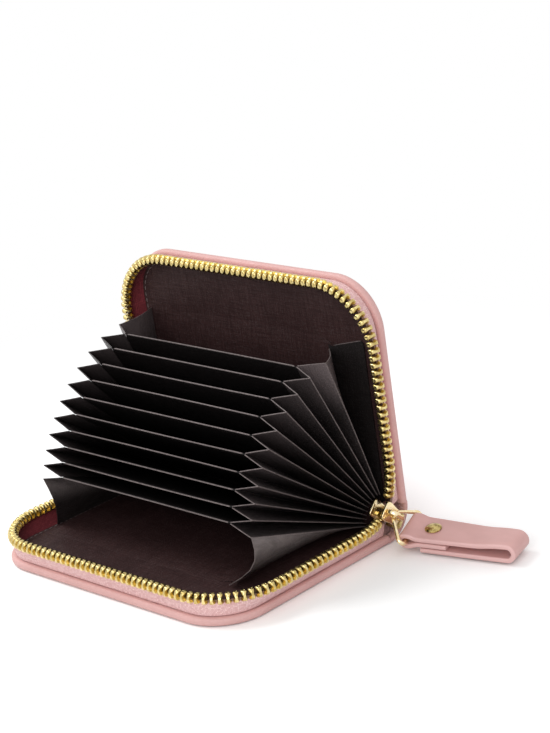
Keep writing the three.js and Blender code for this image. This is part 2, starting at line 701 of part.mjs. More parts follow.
function turnOnStrap(point) {
  const roll = strapRoll(point.x);
  const up = point.y - eyeMid;
  return point.set(
    point.x,
    eyeMid + up * Math.cos(roll) - point.z * Math.sin(roll) + strapLift(point.x),
    point.z * Math.cos(roll) + up * Math.sin(roll),
  );
}

function pullStrap() {
  const half = STRAP_LEATHER / 2;
  const side = STRAP_WIDTH / 2;
  const section = [
    [-half, STRAP_EDGE - side],
    [STRAP_EDGE - half, -side],
    [half - STRAP_EDGE, -side],
    [half, STRAP_EDGE - side],
    [half, side - STRAP_EDGE],
    [half - STRAP_EDGE, side],
    [STRAP_EDGE - half, side],
    [-half, side - STRAP_EDGE],
  ];
  const stations = pathStations(strapLine(), STRAP_STEPS, STRAP_STEPS);
  const rings = stations.map(({ point, tangent }) => section.map(([off, across]) =>
    new THREE.Vector3(point.x - tangent.y * off, point.y + tangent.x * off, across)));
  const capFaces = section.slice(2).map((_, i) => [0, i + 1, i + 2]);
  const holeRadius = RIVET_POST / 2 + RIVET_GAP;
  const drill = new THREE.CylinderGeometry(holeRadius, holeRadius, 4 * topMid, ROUND_SIDES);
  const pierced = toSolid(loft(rings, capFaces)).subtract(toSolid(drill.translate(RIVET_AT, 0, 0)));
  const geometry = toGeometry(pierced);
  const { position } = geometry.attributes;
  const point = new THREE.Vector3();
  for (let i = 0; i < position.count; i += 1) {
    turnOnStrap(point.fromBufferAttribute(position, i));
    position.setXYZ(i, point.x, point.y, point.z);
  }
  geometry.computeVertexNormals();
  return mesh('pull_strap', geometry, strapLeather());
}

// The rivet's domed cap with its post, and the washer that the post is set in under the strap.
function rivetPieces() {
  const under = -RIVET_GAP;
  const over = topMid + STRAP_LEATHER / 2 + RIVET_GAP;
  const cap = RIVET_CAP / 2;
  const post = RIVET_POST / 2;
  const profile = new THREE.Path();
  profile.moveTo(0, under);
  profile.lineTo(post, under);
  profile.lineTo(post, over);
  profile.lineTo(cap, over);
  profile.bezierCurveTo(cap, over + RIVET_DOME / 2, cap / 2, over + RIVET_DOME, 0, over + RIVET_DOME);
  const domed = new THREE.LatheGeometry(profile.getPoints(CORNER_STEPS), ROUND_SIDES);
  const washerTop = under - RIVET_GAP;
  const washer = new THREE.CylinderGeometry(
    RIVET_BACK / 2,
    RIVET_BACK / 2,
    RIVET_BACK_THICKNESS,
    ROUND_SIDES,
  );
  washer.translate(0, washerTop - RIVET_BACK_THICKNESS / 2, 0);
  const rivet = new THREE.Group();
  rivet.add(mesh('rivet_cap', domed.translate(0, -eyeMid, 0), brass()));
  rivet.add(mesh('rivet_back', washer.translate(0, -eyeMid, 0), brass()));
  rivet.position.set(RIVET_AT, eyeMid + strapLift(RIVET_AT), 0);
  rivet.rotation.x = strapRoll(RIVET_AT);
  return rivet;
}

// Assembly

const lowerHalf = new THREE.Group();
lowerHalf.position.copy(hinge);
lowerHalf.rotation.x = Math.PI;
lowerHalf.add(...halfPieces('lower', -1));

const upperHalf = new THREE.Group();
upperHalf.rotation.z = Math.PI;
upperHalf.add(...halfPieces('upper', 1));
const coverHinge = new THREE.Group();
coverHinge.position.copy(hinge);
coverHinge.rotation.x = -rad(OPEN_ANGLE);
coverHinge.add(upperHalf);

const inside = new THREE.Group();
inside.position.copy(hinge);
inside.add(...spinePieces(), ...accordionPieces());

const slider = new THREE.Group();
slider.position.set(sliderX, hinge.y, hinge.z);
slider.rotation.x = -rad(OPEN_ANGLE) / 2;
slider.add(sliderBody(), sliderBridge(), closedEnd(), bottomStop());

const strap = new THREE.Group();
const strapBasis = new THREE.Matrix4();
strapBasis.makeBasis(strapAlong, new THREE.Vector3(0, 0, 1), strapAcross);
strap.setRotationFromMatrix(strapBasis);
strap.position.set(ringBar.x, ringBar.y, FLOOR_CLEAR);
strap.add(pullStrap(), rivetPieces());

const wallet = new THREE.Group();
wallet.add(lowerHalf, coverHinge, inside, slider, pullRing(), strap);

export default wallet;
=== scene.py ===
import math

import bmesh
import bpy
import numpy as np
from mathutils import Matrix, Vector


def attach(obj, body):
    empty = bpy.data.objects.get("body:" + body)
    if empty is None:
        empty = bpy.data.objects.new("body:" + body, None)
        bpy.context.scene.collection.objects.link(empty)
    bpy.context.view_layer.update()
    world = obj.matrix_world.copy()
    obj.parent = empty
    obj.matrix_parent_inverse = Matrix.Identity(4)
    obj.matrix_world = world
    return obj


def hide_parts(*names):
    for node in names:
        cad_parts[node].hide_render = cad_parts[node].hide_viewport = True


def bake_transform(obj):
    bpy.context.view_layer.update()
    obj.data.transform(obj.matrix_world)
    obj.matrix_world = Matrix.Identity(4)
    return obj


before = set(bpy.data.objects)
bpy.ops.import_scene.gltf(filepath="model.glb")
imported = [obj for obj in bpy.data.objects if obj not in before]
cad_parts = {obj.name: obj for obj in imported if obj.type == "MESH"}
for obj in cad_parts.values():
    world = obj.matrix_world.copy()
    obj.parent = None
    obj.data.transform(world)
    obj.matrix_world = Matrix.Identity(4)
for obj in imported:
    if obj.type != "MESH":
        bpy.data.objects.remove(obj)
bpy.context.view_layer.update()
scene = bpy.context.scene
scene.view_settings.view_transform = "Standard"

# Camera
# A long lens in front of the wallet and to its right, a little above it and tilted,
# so that the open front and the right-hand pleats both show.
CAMERA_AT = (0.42062, -0.37755, 0.24399)
turn = math.radians(44.725)
rise = math.radians(18.348)
tilt = math.radians(-6.419)


def linked(name, data):
    made = bpy.data.objects.new(name, data)
    scene.collection.objects.link(made)
    return made


def axes(x, y, z):
    return Matrix((x, y, z)).transposed().to_4x4()


ahead = Vector((-math.sin(turn) * math.cos(rise), math.cos(turn) * math.cos(rise), -math.sin(rise)))
level = Vector((math.cos(turn), math.sin(turn), 0))
above = level.cross(ahead)
across_picture = level * math.cos(tilt) + above * math.sin(tilt)
up_picture = above * math.cos(tilt) - level * math.sin(tilt)
lens = bpy.data.cameras.new("camera")
lens.sensor_fit = "VERTICAL"
lens.sensor_height = 36
lens.lens = 97.6
scene.camera = linked("camera", lens)
scene.camera.matrix_world = Matrix.Translation(CAMERA_AT) @ axes(across_picture, up_picture, -ahead)

# Covers
# Two panels of pink pebbled leather, each turned in round a stiff board, so the rim is a smooth
# rolled lip. A stitch line is pressed into the outer face, close to the lip.
CASE_LENGTH = 103.0
COVER_DEPTH = 72.0
COVER_CORNER = 16.0
HALF_THICKNESS = 10.0
OPEN_ANGLE = 87.0
HINGE = Vector((0, 0.036, 0.010))
HINGE_EDGE_INSET = 3.0
LIP = 1.1
LIP_SIDE = 1.5
STITCH_INSET = 2.7
SEAM_DEPTH = 0.28
MILLIMETRES = Matrix.Scale(0.001, 4)

# Each half is drawn in millimetres: along the spine, forward from the hinge, outward to the cover.
LOWER = Matrix.Translation(HINGE) @ Matrix.Rotation(math.pi, 4, "X") @ MILLIMETRES
UPPER = (
    Matrix.Translation(HINGE)
    @ Matrix.Rotation(-math.radians(OPEN_ANGLE), 4, "X")
    @ Matrix.Rotation(math.pi, 4, "Z")
    @ MILLIMETRES
)
HALVES = {"lower": LOWER, "upper": UPPER}


# A new node with its settings and sockets. It gives one of the outputs, or with None all of them.
def add(tree, kind, sockets, output=0, **settings):
    made = tree.nodes.new(kind)
    for name, value in settings.items():
        setattr(made, name, value)
    for key, value in sockets.items():
        if isinstance(value, bpy.types.NodeSocket):
            tree.links.new(value, made.inputs[key])
        else:
            made.inputs[key].default_value = value
    return made.outputs if output is None else made.outputs[output]


def math_of(operation, *values):
    return add(values[0].id_data, "ShaderNodeMath", dict(enumerate(values)), operation=operation)


def times(first, second):
    return math_of("MULTIPLY", first, second)


# A mix of two colours, each of them written out or taken from another node.
def between(share, low, high):
    ends = [end if isinstance(end, bpy.types.NodeSocket) else (*end, 1) for end in (low, high)]
    sockets = {0: share, 6: ends[0], 7: ends[1]}
    return add(share.id_data, "ShaderNodeMix", sockets, data_type="RGBA", output=2)


def ramp(value, from_low, from_high, low=0.0, high=1.0):
    sockets = {"Value": value, 1: from_low, 2: from_high, 3: low, 4: high}
    return add(value.id_data, "ShaderNodeMapRange", sockets, interpolation_type="SMOOTHSTEP")


def in_millimetres(tree, stretch):
    coordinates = add(tree, "ShaderNodeTexCoord", {}, output="Object")
    scale = tuple(1000 * share for share in stretch)
    return add(tree, "ShaderNodeMapping", {"Vector": coordinates, "Scale": scale})


def noise(tree, scale, detail, stretch=(1, 1, 1), output=0):
    sockets = {"Vector": in_millimetres(tree, stretch), "Scale": scale, "Detail": detail}
    return add(tree, "ShaderNodeTexNoise", sockets, output)


def marked(tree, name):
    return add(tree, "ShaderNodeAttribute", {}, attribute_name=name, output="Fac")


def new_finish(name, roughness, metallic=0.0, specular=0.5, sheen=0.0):
    material = bpy.data.materials.new(name)
    material.use_nodes = True
    sockets = material.node_tree.nodes["Principled BSDF"].inputs
    sockets["Roughness"].default_value = roughness
    sockets["Metallic"].default_value = metallic
    sockets["Specular IOR Level"].default_value = specular
    sockets["Sheen Weight"].default_value = sheen
    return material, material.node_tree


# Gives a finish its colour, the relief of its surface and, where it varies, its roughness.
def coat(material, colour, height, depth, strength=1.0, gloss=None):
    tree = material.node_tree
    bump = add(tree, "ShaderNodeBump", {"Height": height, "Distance": depth, "Strength": strength})
    for name, value in (("Base Color", colour), ("Roughness", gloss), ("Normal", bump)):
        if value is not None:
            tree.links.new(value, tree.nodes["Principled BSDF"].inputs[name])
    return material


# Rounded pebbles with painted shade in the creases between them, as strong as the grain that is marked on
# the mesh.
def pebbled_leather():
    material, tree = new_finish("pebbled_leather", 0.46)
    stretch = (0.9, 1.1, 1.1)
    place = in_millimetres(tree, stretch)
    drift = noise(tree, 0.35, 2.0, stretch, output=1)
    shift = add(tree, "ShaderNodeVectorMath", {0: drift, "Scale": 0.6}, operation="SCALE")
    drawn = add(tree, "ShaderNodeVectorMath", {0: place, 1: shift}, operation="ADD")
    sockets = {"Vector": drawn, "Scale": 0.56, "Randomness": 0.8}
    edge = add(tree, "ShaderNodeTexVoronoi", sockets, feature="DISTANCE_TO_EDGE")
    dome = ramp(edge, 0.0, 0.36)
    crease = ramp(edge, 0.02, 0.2, 1.0, 0.0)
    grain = marked(tree, "grain")
    pores = times(noise(tree, 4.0, 3.0, stretch), 0.1)
    height = math_of("ADD", times(dome, grain), pores)
    tone = ramp(noise(tree, 0.07, 3.0, stretch), 0.3, 0.7)
    colour = between(tone, (0.645, 0.374, 0.354), (0.690, 0.408, 0.388))
    # Painted shade in the creases between the pebbles.
    shade = times(times(crease, grain), 0.6)
    colour = between(shade, colour, (0.46, 0.240, 0.228))
    # Painted shade in the pressed stitch channel.
    colour = between(marked(tree, "painted_groove_shade"), colour, (0.33, 0.150, 0.143))
    return coat(material, colour, height, 0.0005, 0.9, ramp(dome, 0.0, 1.0, 0.56, 0.4))


# Fine fibres between two colours, for card, thread and rubbed edges.
def fibrous(name, low, high, roughness, scale, detail, depth, stretch=(1, 1, 1), specular=0.5, spread=None):
    material, tree = new_finish(name, roughness, specular=specular)
    fibres = noise(tree, scale, detail, stretch)
    share = ramp(fibres, *spread) if spread else fibres
    return coat(material, between(share, low, high), fibres, depth)


def arc(centre, radius, start, end, steps):
    angles = np.radians(np.linspace(start, end, steps + 1))
    return np.stack((centre[0] + radius * np.cos(angles), centre[1] + radius * np.sin(angles)), 1)


def straight(start, end, steps):
    shares = np.linspace(0, 1, steps + 1)[:, None]
    return np.array(start) * (1 - shares) + np.array(end) * shares


def joined(*runs):
    return np.concatenate([runs[0]] + [run[1:] for run in runs[1:]])


# Round the open sides of a panel, from its right end by the hinge to its left end.
def panel_path(inset, back):
    side = CASE_LENGTH / 2 - inset
    front = COVER_DEPTH - inset
    corner = COVER_CORNER - inset
    turned = front - corner
    inner = side - corner
    return joined(
        straight((side, back), (side, turned), 10),
        arc((inner, turned), corner, 0, 90, 14),
        straight((inner, front), (-inner, front), 12),
        arc((-inner, turned), corner, 90, 180, 14),
        straight((-side, turned), (-side, back), 10),
    )


# Round a whole panel, with a depth of its own along the hinge.
def panel_ring(inset, back, depth, hinge_depth):
    path = panel_path(inset, back)
    end = CASE_LENGTH / 2 - inset - HINGE_EDGE_INSET
    hinge_edge = straight((-end, back), (end, back), 5)
    depths = np.concatenate((np.full(len(path), depth), np.full(len(hinge_edge), hinge_depth)))
    return np.column_stack((np.concatenate((path, hinge_edge)), depths))


# Faces between rings of points, with a face over the first and the last ring if they are capped.
def skin(rings, closed=True, capped=True):
    count = len(rings[0])
    points = np.concatenate(rings)
    faces = []
    for row in range(len(rings) - 1):
        for i in range(count if closed else count - 1):
            a = row * count + i
            b = row * count + (i + 1) % count
            faces.append((a, b, b + count, a + count))
    if capped:
        faces += [range(count), range(len(points) - count, len(points))]
    return points, faces


def shown(name, mesh, sharp):
    mesh.polygons.foreach_set("use_smooth", [True] * len(mesh.polygons))
    mesh.set_sharp_from_angle(angle=math.radians(sharp))
    return linked(name, mesh)


def piece(name, points, faces, place, finishes, sharp=38):
    mesh = bpy.data.meshes.new(name)
    mesh.from_pydata([tuple(point) for point in points], [], [tuple(face) for face in faces])
    mesh.transform(place)
    outward = bmesh.new()
    outward.from_mesh(mesh)
    bmesh.ops.recalc_face_normals(outward, faces=outward.faces)
    outward.to_mesh(mesh)
    outward.free()
    for finish in finishes:
        mesh.materials.append(finish)
    return shown(name, mesh, sharp)


def mark(made, name, values):
    attribute = made.data.attributes.new(name, "FLOAT", "POINT")
    attribute.data.foreach_set("value", np.asarray(values, np.float32))


def fit(made, body, slot, *nodes):
    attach(made, body)
    if nodes:
        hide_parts(*nodes)


cover_leather = pebbled_leather()
card_colours = ((0.20, 0.17, 0.13), (0.33, 0.28, 0.22))
board_finish = fibrous("grey_card", *card_colours, 0.9, 1.5, 4.0, 0.00005, stretch=(0.4, 3, 3))

# Inset from the edge, distance from the hinge, depth under the outer face, share of the grain.
lip_turn = np.radians(np.arange(15, 91, 15))
cover_profile = [
    (12.0, 9.0, 0.0, 1.0),
    (7.0, 5.0, 0.0, 1.0),
    (4.2, 2.5, 0.0, 1.0),
    (3.3, 1.6, 0.0, 0.9),
    (2.98, 1.2, 0.1, 0.5),
    (STITCH_INSET, 0.9, SEAM_DEPTH, 0.3),
    (2.42, 0.6, 0.1, 0.4),
    (2.1, 0.3, 0.0, 0.5),
    (LIP, 0.0, 0.0, 0.3),
]
flat_rows = len(cover_profile)
cover_profile += [(LIP * (1 - math.sin(t)), 0.0, LIP * (1 - math.cos(t)), 0.12) for t in lip_turn]
cover_profile.append((0.0, 0.0, LIP_SIDE, 0.12))
cover_profile += [(LIP * (1 - math.cos(t)), 0.0, LIP_SIDE + LIP * math.sin(t), 0.12) for t in lip_turn]
cover_profile += [
    (3.2, 0.6, 2.6, 0.2),
    (7.0, 0.95, 2.6, 0.2),
    (7.0, 0.95, 1.9, 0.2),
    (0.95, 0.95, 1.9, 0.0),
    (0.95, 0.95, 0.7, 0.0),
]
cover_rings = []
for row, (inset, back, under, _) in enumerate(cover_profile):
    hinge_under = 0.0 if row < flat_rows else under
    cover_rings.append(panel_ring(inset, back, HALF_THICKNESS - under, HALF_THICKNESS - hinge_under))
cover_points, cover_faces = skin(cover_rings)
ring_size = len(cover_rings[0])
cover_grain = np.repeat([row[3] for row in cover_profile], ring_size)
# The pressed stitch channel is marked for painted shade, as deep as it is pressed.
pressed = (HALF_THICKNESS - cover_points[:, 2]) / SEAM_DEPTH
cover_groove_shade = np.where(np.arange(len(cover_points)) < flat_rows * ring_size, pressed, 0.0)
for half, place in HALVES.items():
    cover = piece(f"{half}_cover_leather", cover_points, cover_faces, place, [cover_leather])
    mark(cover, "grain", cover_grain)
    mark(cover, "painted_groove_shade", cover_groove_shade)
    fit(cover, f"{half}_half", "cover_leather", f"{half}_cover")
    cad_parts[f"{half}_board"].data.materials.clear()
    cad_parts[f"{half}_board"].data.materials.append(board_finish)

# Cover stitching
# One line of waxed pink thread round each cover, sunk in its pressed channel.
# Every stitch is a short slanted length of thread.
ROW_INPUTS = {
    "Path": "Geometry",
    "Shape": "Object",
    "Count": "Int",
    "Slant": "Float",
    "Unevenness": "Float",
    "Seed": "Int",
    "Finish": "Material",
}

# Inset, start, depth and pitch of the stitch line, and the girth of a stitch along its length.
COVER_LINE = (STITCH_INSET, 1.6, 9.82, 2.4)
STITCH_GIRTH = ((-0.5, 0.25), (-0.38, 0.75), (-0.12, 1.0), (0.12, 1.0), (0.38, 0.75), (0.5, 0.25))
STITCH_SLANT = math.radians(9)


# Sets one shape at even steps along a path of edges.
def row_tree():
    tree = bpy.data.node_groups.new("row_along_path", "GeometryNodeTree")
    for name, kind in ROW_INPUTS.items():
        tree.interface.new_socket(name, in_out="INPUT", socket_type=f"NodeSocket{kind}")
    tree.interface.new_socket("Row", in_out="OUTPUT", socket_type="NodeSocketGeometry")
    given = add(tree, "NodeGroupInput", {}, output=None)
    line = add(tree, "GeometryNodeMeshToCurve", {"Mesh": given["Path"]})
    sockets = {"Curve": line, "Count": given["Count"]}
    spaced = add(tree, "GeometryNodeCurveToPoints", sockets, mode="COUNT", output=None)
    sockets = {"Vector": spaced["Tangent"]}
    aligned = add(tree, "FunctionNodeAlignRotationToVector", sockets, axis="X", pivot_axis="Z")
    least = times(given["Unevenness"], -1.0)
    sockets = {2: least, 3: given["Unevenness"], "Seed": given["Seed"]}
    wander = add(tree, "FunctionNodeRandomValue", sockets, data_type="FLOAT", output=1)
    lean = math_of("ADD", given["Slant"], wander)
    slanted = add(tree, "FunctionNodeAxisAngleToRotation", {"Axis": (0, 0, 1), "Angle": lean})
    sockets = {"Rotation": aligned, "Rotate By": slanted}
    turned = add(tree, "FunctionNodeRotateRotation", sockets, rotation_space="LOCAL")
    sockets = {"Object": given["Shape"], "As Instance": True}
    shape = add(tree, "GeometryNodeObjectInfo", sockets, output="Geometry")
    sockets = {"Points": spaced["Points"], "Instance": shape, "Rotation": turned}
    placed = add(tree, "GeometryNodeInstanceOnPoints", sockets)
    real = add(tree, "GeometryNodeRealizeInstances", {"Geometry": placed})
    covered = add(tree, "GeometryNodeSetMaterial", {"Geometry": real, "Material": given["Finish"]})
    add(tree, "NodeGroupOutput", {"Row": covered}, output=None)
    return tree


row_nodes = row_tree()


# A row of one shape along a path of points, in a half's own millimetres.
def row_along(name, path, shape, count, finish, place, slant=0.0, unevenness=0.0, seed=1, sharp=50):
    line = bpy.data.meshes.new(name)
    line.from_pydata([tuple(point) for point in path], [(i, i + 1) for i in range(len(path) - 1)], [])
    carrier = linked(name, line)
    rows = carrier.modifiers.new("row", "NODES")
    rows.node_group = row_nodes
    given = {"Shape": shape, "Count": count, "Slant": slant, "Unevenness": unevenness, "Seed": seed}
    given["Finish"] = finish
    for socket in row_nodes.interface.items_tree:
        if socket.name in given:
            rows[socket.identifier] = given[socket.name]
    settled = bpy.context.evaluated_depsgraph_get()
    mesh = bpy.data.meshes.new_from_object(carrier.evaluated_get(settled))
    carrier.modifiers.clear()
    bpy.data.objects.remove(carrier)
    mesh.name = name
    mesh.transform(place)
    return shown(name, mesh, sharp)


# One stitch: a short thread, thick in the middle and pulled under at both ends.
def stitch_shape(name, length, width, height):
    rings = []
    for share, girth in STITCH_GIRTH:
        ring = arc((0, 0), girth / 2, 0, 300, 5) * (width, height)
        ring[:, 1] += (1 - girth) * height * 0.35
        rings.append(np.column_stack((np.full(len(ring), share * length), ring)))
    return piece(name, *skin(rings), Matrix.Identity(4), [])


def thread(name, low, high):
    return fibrous(name, low, high, 0.55, 3.0, 2.0, 0.00006)


# The distance run along a path, at each of its points.
def run_along(path):
    return np.concatenate(([0], np.cumsum(np.linalg.norm(np.diff(path, axis=0), axis=1))))


# A line round a panel at one depth, and how many stitches it takes.
def stitch_line(inset, start, depth, pitch):
    path = panel_path(inset, start)
    path = np.column_stack((path, np.full(len(path), depth)))
    return path, round(run_along(path)[-1] / pitch)


cover_thread = thread("pink_thread", (0.78, 0.53, 0.50), (0.94, 0.76, 0.72))
cover_stitch = stitch_shape("cover_stitch", 1.85, 0.56, 0.36)
cover_line, cover_count = stitch_line(*COVER_LINE)
for seed, (half, place) in enumerate(HALVES.items()):
    row = (f"{half}_cover_stitches", cover_line, cover_stitch, cover_count, cover_thread, place)
    stitching = row_along(*row, slant=STITCH_SLANT, unevenness=0.03, seed=seed)
    fit(stitching, f"{half}_half", "cover_leather")
bpy.data.objects.remove(cover_stitch)

# Spine
# A band of the same leather that joins the two covers round the back. Its two ends are rolled in, and it is
# bent round the hinge.
SPINE_RADIUS = 10.0
SPINE_LEATHER = 0.7
SPINE_ROLL = 0.75
SPINE_STEPS = 28
ABOUT_HINGE = Matrix.Translation(HINGE) @ MILLIMETRES


# Bakes a piece's place into its mesh and hides the solid that it stands for.
def follow_hinge(made, node):
    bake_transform(made)
    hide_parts(node)


# A closed section (along the spine, radius) carried round the hinge line.
def bent_band(name, section, finish, steps, node):
    along, radius = section.T
    angles = np.radians(np.linspace(-90, 90 - OPEN_ANGLE, steps + 1))
    rings = [np.column_stack((along, radius * math.cos(a), radius * math.sin(a))) for a in angles]
    made = piece(name, *skin(rings), ABOUT_HINGE, [finish])
    follow_hinge(made, node)
    return made


half_length = CASE_LENGTH / 2
spine_end = np.concatenate((
    arc((half_length - SPINE_ROLL, SPINE_RADIUS - SPINE_ROLL), SPINE_ROLL, 90, -90, 10),
    [(half_length - 2.6, SPINE_RADIUS - 2 * SPINE_ROLL), (half_length - 3.0, SPINE_RADIUS - SPINE_LEATHER)],
))
spine_section = np.concatenate((
    straight((2 - half_length, SPINE_RADIUS), (half_length - 2, SPINE_RADIUS), 24),
    spine_end,
    spine_end[::-1] * (-1, 1),
))
spine = bent_band("spine_leather", spine_section, cover_leather, SPINE_STEPS, "spine")
spine_grain = np.where(np.abs(spine_section[:, 0]) < half_length - 2.5, 1.0, 0.15)
mark(spine, "grain", np.tile(spine_grain, SPINE_STEPS + 1))

# Linings
# Brown-black lining cloth with a fine linen emboss, glued inside each cover over the turned-in
# leather and held by one row of fine stitches along its edge.
LINING = 0.42
LINING_INSET = 2.6
LINING_DEPTH = 6.875
LINING_COLUMNS = 41
LINING_LINE = (3.6, 3.0, 6.57, 2.1)


# Cloth with a linen emboss and small flecks painted lighter as painted glints. A painted light colour shows
# as strongly as the painted light that is marked on the mesh.
def lining_cloth(name, low, high, roughness, specular, painted_light_colour=None):
    material, tree = new_finish(name, roughness, specular=specular)
    along = noise(tree, 1.6, 2.0, (0.12, 2.4, 2.4))
    across = noise(tree, 1.6, 2.0, (2.4, 0.12, 0.12))
    linen = times(math_of("ADD", along, across), 0.5)
    patches = noise(tree, 0.09, 3.0)
    lit = times(ramp(linen, 0.34, 0.66), ramp(patches, 0.2, 0.8, 0.5, 1.0))
    # Painted glints: small flecks lightened in the colour, as if they caught the light.
    speck = ramp(noise(tree, 2.2, 1.0), 0.5, 0.7)
    bright = tuple(0.6 * share + 0.9 * max(high) for share in high)
    glint = times(times(speck, lit), 0.55)
    colour = between(glint, between(lit, low, high), bright)
    if painted_light_colour:
        # Painted light: the colour lightens where painted light is marked on the mesh.
        painted_light = ramp(marked(tree, "painted_light"), 0.6, 1.0)
        colour = between(times(painted_light, ramp(linen, 0.34, 0.66, 0.7, 1.3)), colour, painted_light_colour)
    gloss = ramp(linen, 0.3, 0.7, roughness + 0.1, roughness - 0.1)
    height = math_of("ADD", linen, times(speck, 0.5))
    return coat(material, colour, height, 0.00014, 0.8, gloss)


def unit(vectors):
    return vectors / np.linalg.norm(vectors, axis=-1)[..., None]


# A thin sheet from a grid of points: rows by columns by three, with a thickness for each point.
def sheet(grid, thickness):
    normals = unit(np.cross(np.gradient(grid, axis=0), np.gradient(grid, axis=1)))
    height, width = grid.shape[:2]
    half = np.broadcast_to(np.asarray(thickness) / 2, (height, width))[:, :, None]
    points = np.concatenate(((grid + normals * half).reshape(-1, 3), (grid - normals * half).reshape(-1, 3)))
    under = height * width
    faces = []
    for row in range(height - 1):
        for column in range(width - 1):
            a = row * width + column
            faces.append((a, a + 1, a + width + 1, a + width))
            faces.append((under + a, under + a + width, under + a + width + 1, under + a + 1))
    index = np.arange(under).reshape(height, width)
    border = np.concatenate((index[0], index[1:, -1], index[-1, -2::-1], index[-2:0:-1, 0])).tolist()
    for a, b in zip(border, border[1:] + border[:1]):
        faces.append((a, under + a, under + b, b))
    return points, faces


# Half the width of a panel with rounded front corners, at a distance forward from the hinge.
def half_width_at(forward, side, front, corner):
    past = np.clip(forward - (front - corner), 0, corner)
    return side - corner + math.sqrt(corner**2 - past**2)


lining_finish = lining_cloth("lining_cloth", (0.026, 0.0118, 0.0118), (0.056, 0.0270, 0.0266), 0.55, 0.12)
lining_thread = thread("grey_pink_thread", (0.10, 0.075, 0.075), (0.22, 0.17, 0.165))
lining_stitch = stitch_shape("seam_stitch", 1.5, 0.28, 0.2)
lining_line, lining_count = stitch_line(*LINING_LINE)
lining_side = CASE_LENGTH / 2 - LINING_INSET
lining_front = COVER_DEPTH - LINING_INSET
lining_corner = COVER_CORNER - LINING_INSET
front_rows = lining_front - lining_corner * (1 - np.sin(np.radians(np.linspace(0, 90, 14))))
lining_rows = np.unique(np.round(np.concatenate((np.linspace(0, 52, 19), front_rows)), 4))
lining_rows[-1] -= 0.02
lining_grid = np.zeros((len(lining_rows), LINING_COLUMNS, 3))
for row, forward in enumerate(lining_rows):
    reach = half_width_at(forward, lining_side, lining_front, lining_corner)
    along = np.linspace(-reach, reach, LINING_COLUMNS)
    puff = 0.05 * np.sin(along / 9.1 + 0.7) * np.sin(forward / 7.3)
    puff += 0.04 * np.sin(along / 4.7 - forward / 5.9)
    lining_grid[row] = np.column_stack((along, np.full(LINING_COLUMNS, forward), LINING_DEPTH + puff))
lining_points, lining_faces = sheet(lining_grid, LINING)
for seed, (half, place) in enumerate(HALVES.items(), 20):
    lining = piece(f"{half}_lining_cloth", lining_points, lining_faces, place, [lining_finish])
    fit(lining, f"{half}_half", "lining", f"{half}_lining")
    row = (f"{half}_lining_stitches", lining_line, lining_stitch, lining_count, lining_thread, place)
    fit(row_along(*row, unevenness=0.06, seed=seed), f"{half}_half", "lining")
bpy.data.objects.remove(lining_stitch)

# Spine lining
# A strip of the same cloth, glued behind the spine's leather between the two linings.
# The accordion hides it, and it is bent round the hinge like the spine.
STRIP_OUTSIDE = 7.1
STRIP_INSIDE = 6.65
STRIP_INSET = 8.5
STRIP_STEPS = 16
strip_half = CASE_LENGTH / 2 - STRIP_INSET
strip_section = np.concatenate((
    straight((-strip_half, STRIP_OUTSIDE), (strip_half, STRIP_OUTSIDE), 20),
    straight((strip_half, STRIP_INSIDE), (-strip_half, STRIP_INSIDE), 20),
))
bent_band("spine_lining_cloth", strip_section, lining_finish, STRIP_STEPS, "spine_lining")

# Zip tapes
# Woven pink tape that stands up round each half, pink outside and maroon where it shows inside, that maroon
# partly its own colour and partly painted shade.
# Its foot is sewn in beside the lip, and its top edge is gripped by the teeth, with painted shade along it
# between the teeth.
TAPE = 0.8
TAPE_FOOT = 7.15
TAPE_NECK = 3.2
TAPE_TOP = 2.05
TAPE_START = 1.4
TAPE_BULGE = 0.18
FOOT_INSET = 1.9
RIM_DRAW_LENGTH = 14.0

# Side inset, front inset and corner of the rim, and how far its ends are drawn in at the spine.
RIM_LINE = (-1.5, 1.0, 20.0, 2.5)


def rim_path(side_inset, front_inset, corner, draw_in, start):
    side = CASE_LENGTH / 2 - side_inset
    front = COVER_DEPTH - front_inset
    shares = np.linspace(0, 1, 13)
    drawn = np.column_stack((side - draw_in * (1 - shares) ** 2, start + RIM_DRAW_LENGTH * shares))
    right = joined(
        drawn,
        straight(drawn[-1], (side, front - corner), 12),
        arc((side - corner, front - corner), corner, 0, 90, 22),
        straight((side - corner, front), (0, front), 14),
    )
    return joined(right, right[::-1] * (-1, 1))


def path_normals(path):
    tangents = unit(np.gradient(path, axis=0))
    return np.column_stack((tangents[:, 1], -tangents[:, 0]))


def set_uv(made, uv):
    layer = made.data.uv_layers.new(name="UVMap")
    corners = np.zeros(len(made.data.loops), np.int32)
    made.data.loops.foreach_get("vertex_index", corners)
    layer.data.foreach_set("uv", np.asarray(uv, np.float32)[corners].ravel())


def woven_tape(name, dark, light, painted_shade_colour):
    material, tree = new_finish(name, 0.8, specular=0.3, sheen=0.06)
    uv = add(tree, "ShaderNodeTexCoord", {}, output="UV")
    sockets = {
        "Vector": uv,
        "Color1": (1, 1, 1, 1),
        "Color2": (0.2, 0.2, 0.2, 1),
        "Mortar": (0, 0, 0, 1),
        "Scale": 1.0,
        "Mortar Size": 0.09,
        "Mortar Smooth": 0.9,
        "Brick Width": 0.7,
        "Row Height": 0.44,
    }
    weave = add(tree, "ShaderNodeTexBrick", sockets, offset=0.5)
    fuzz = noise(tree, 2.6, 3.0)
    lift = times(weave, ramp(fuzz, 0.2, 0.75, 0.8, 1.0))
    height = add(tree, "ShaderNodeSeparateXYZ", {0: uv}, output=1)
    # Painted shade: the tape darkens towards its top edge, where it lies between the teeth.
    painted_shade_share = ramp(height, TAPE_TOP + 0.5, TAPE_NECK, 0.85, 0.0)
    colour = between(painted_shade_share, between(lift, dark, light), painted_shade_colour)
    return coat(material, colour, lift, 0.00008, 0.8)


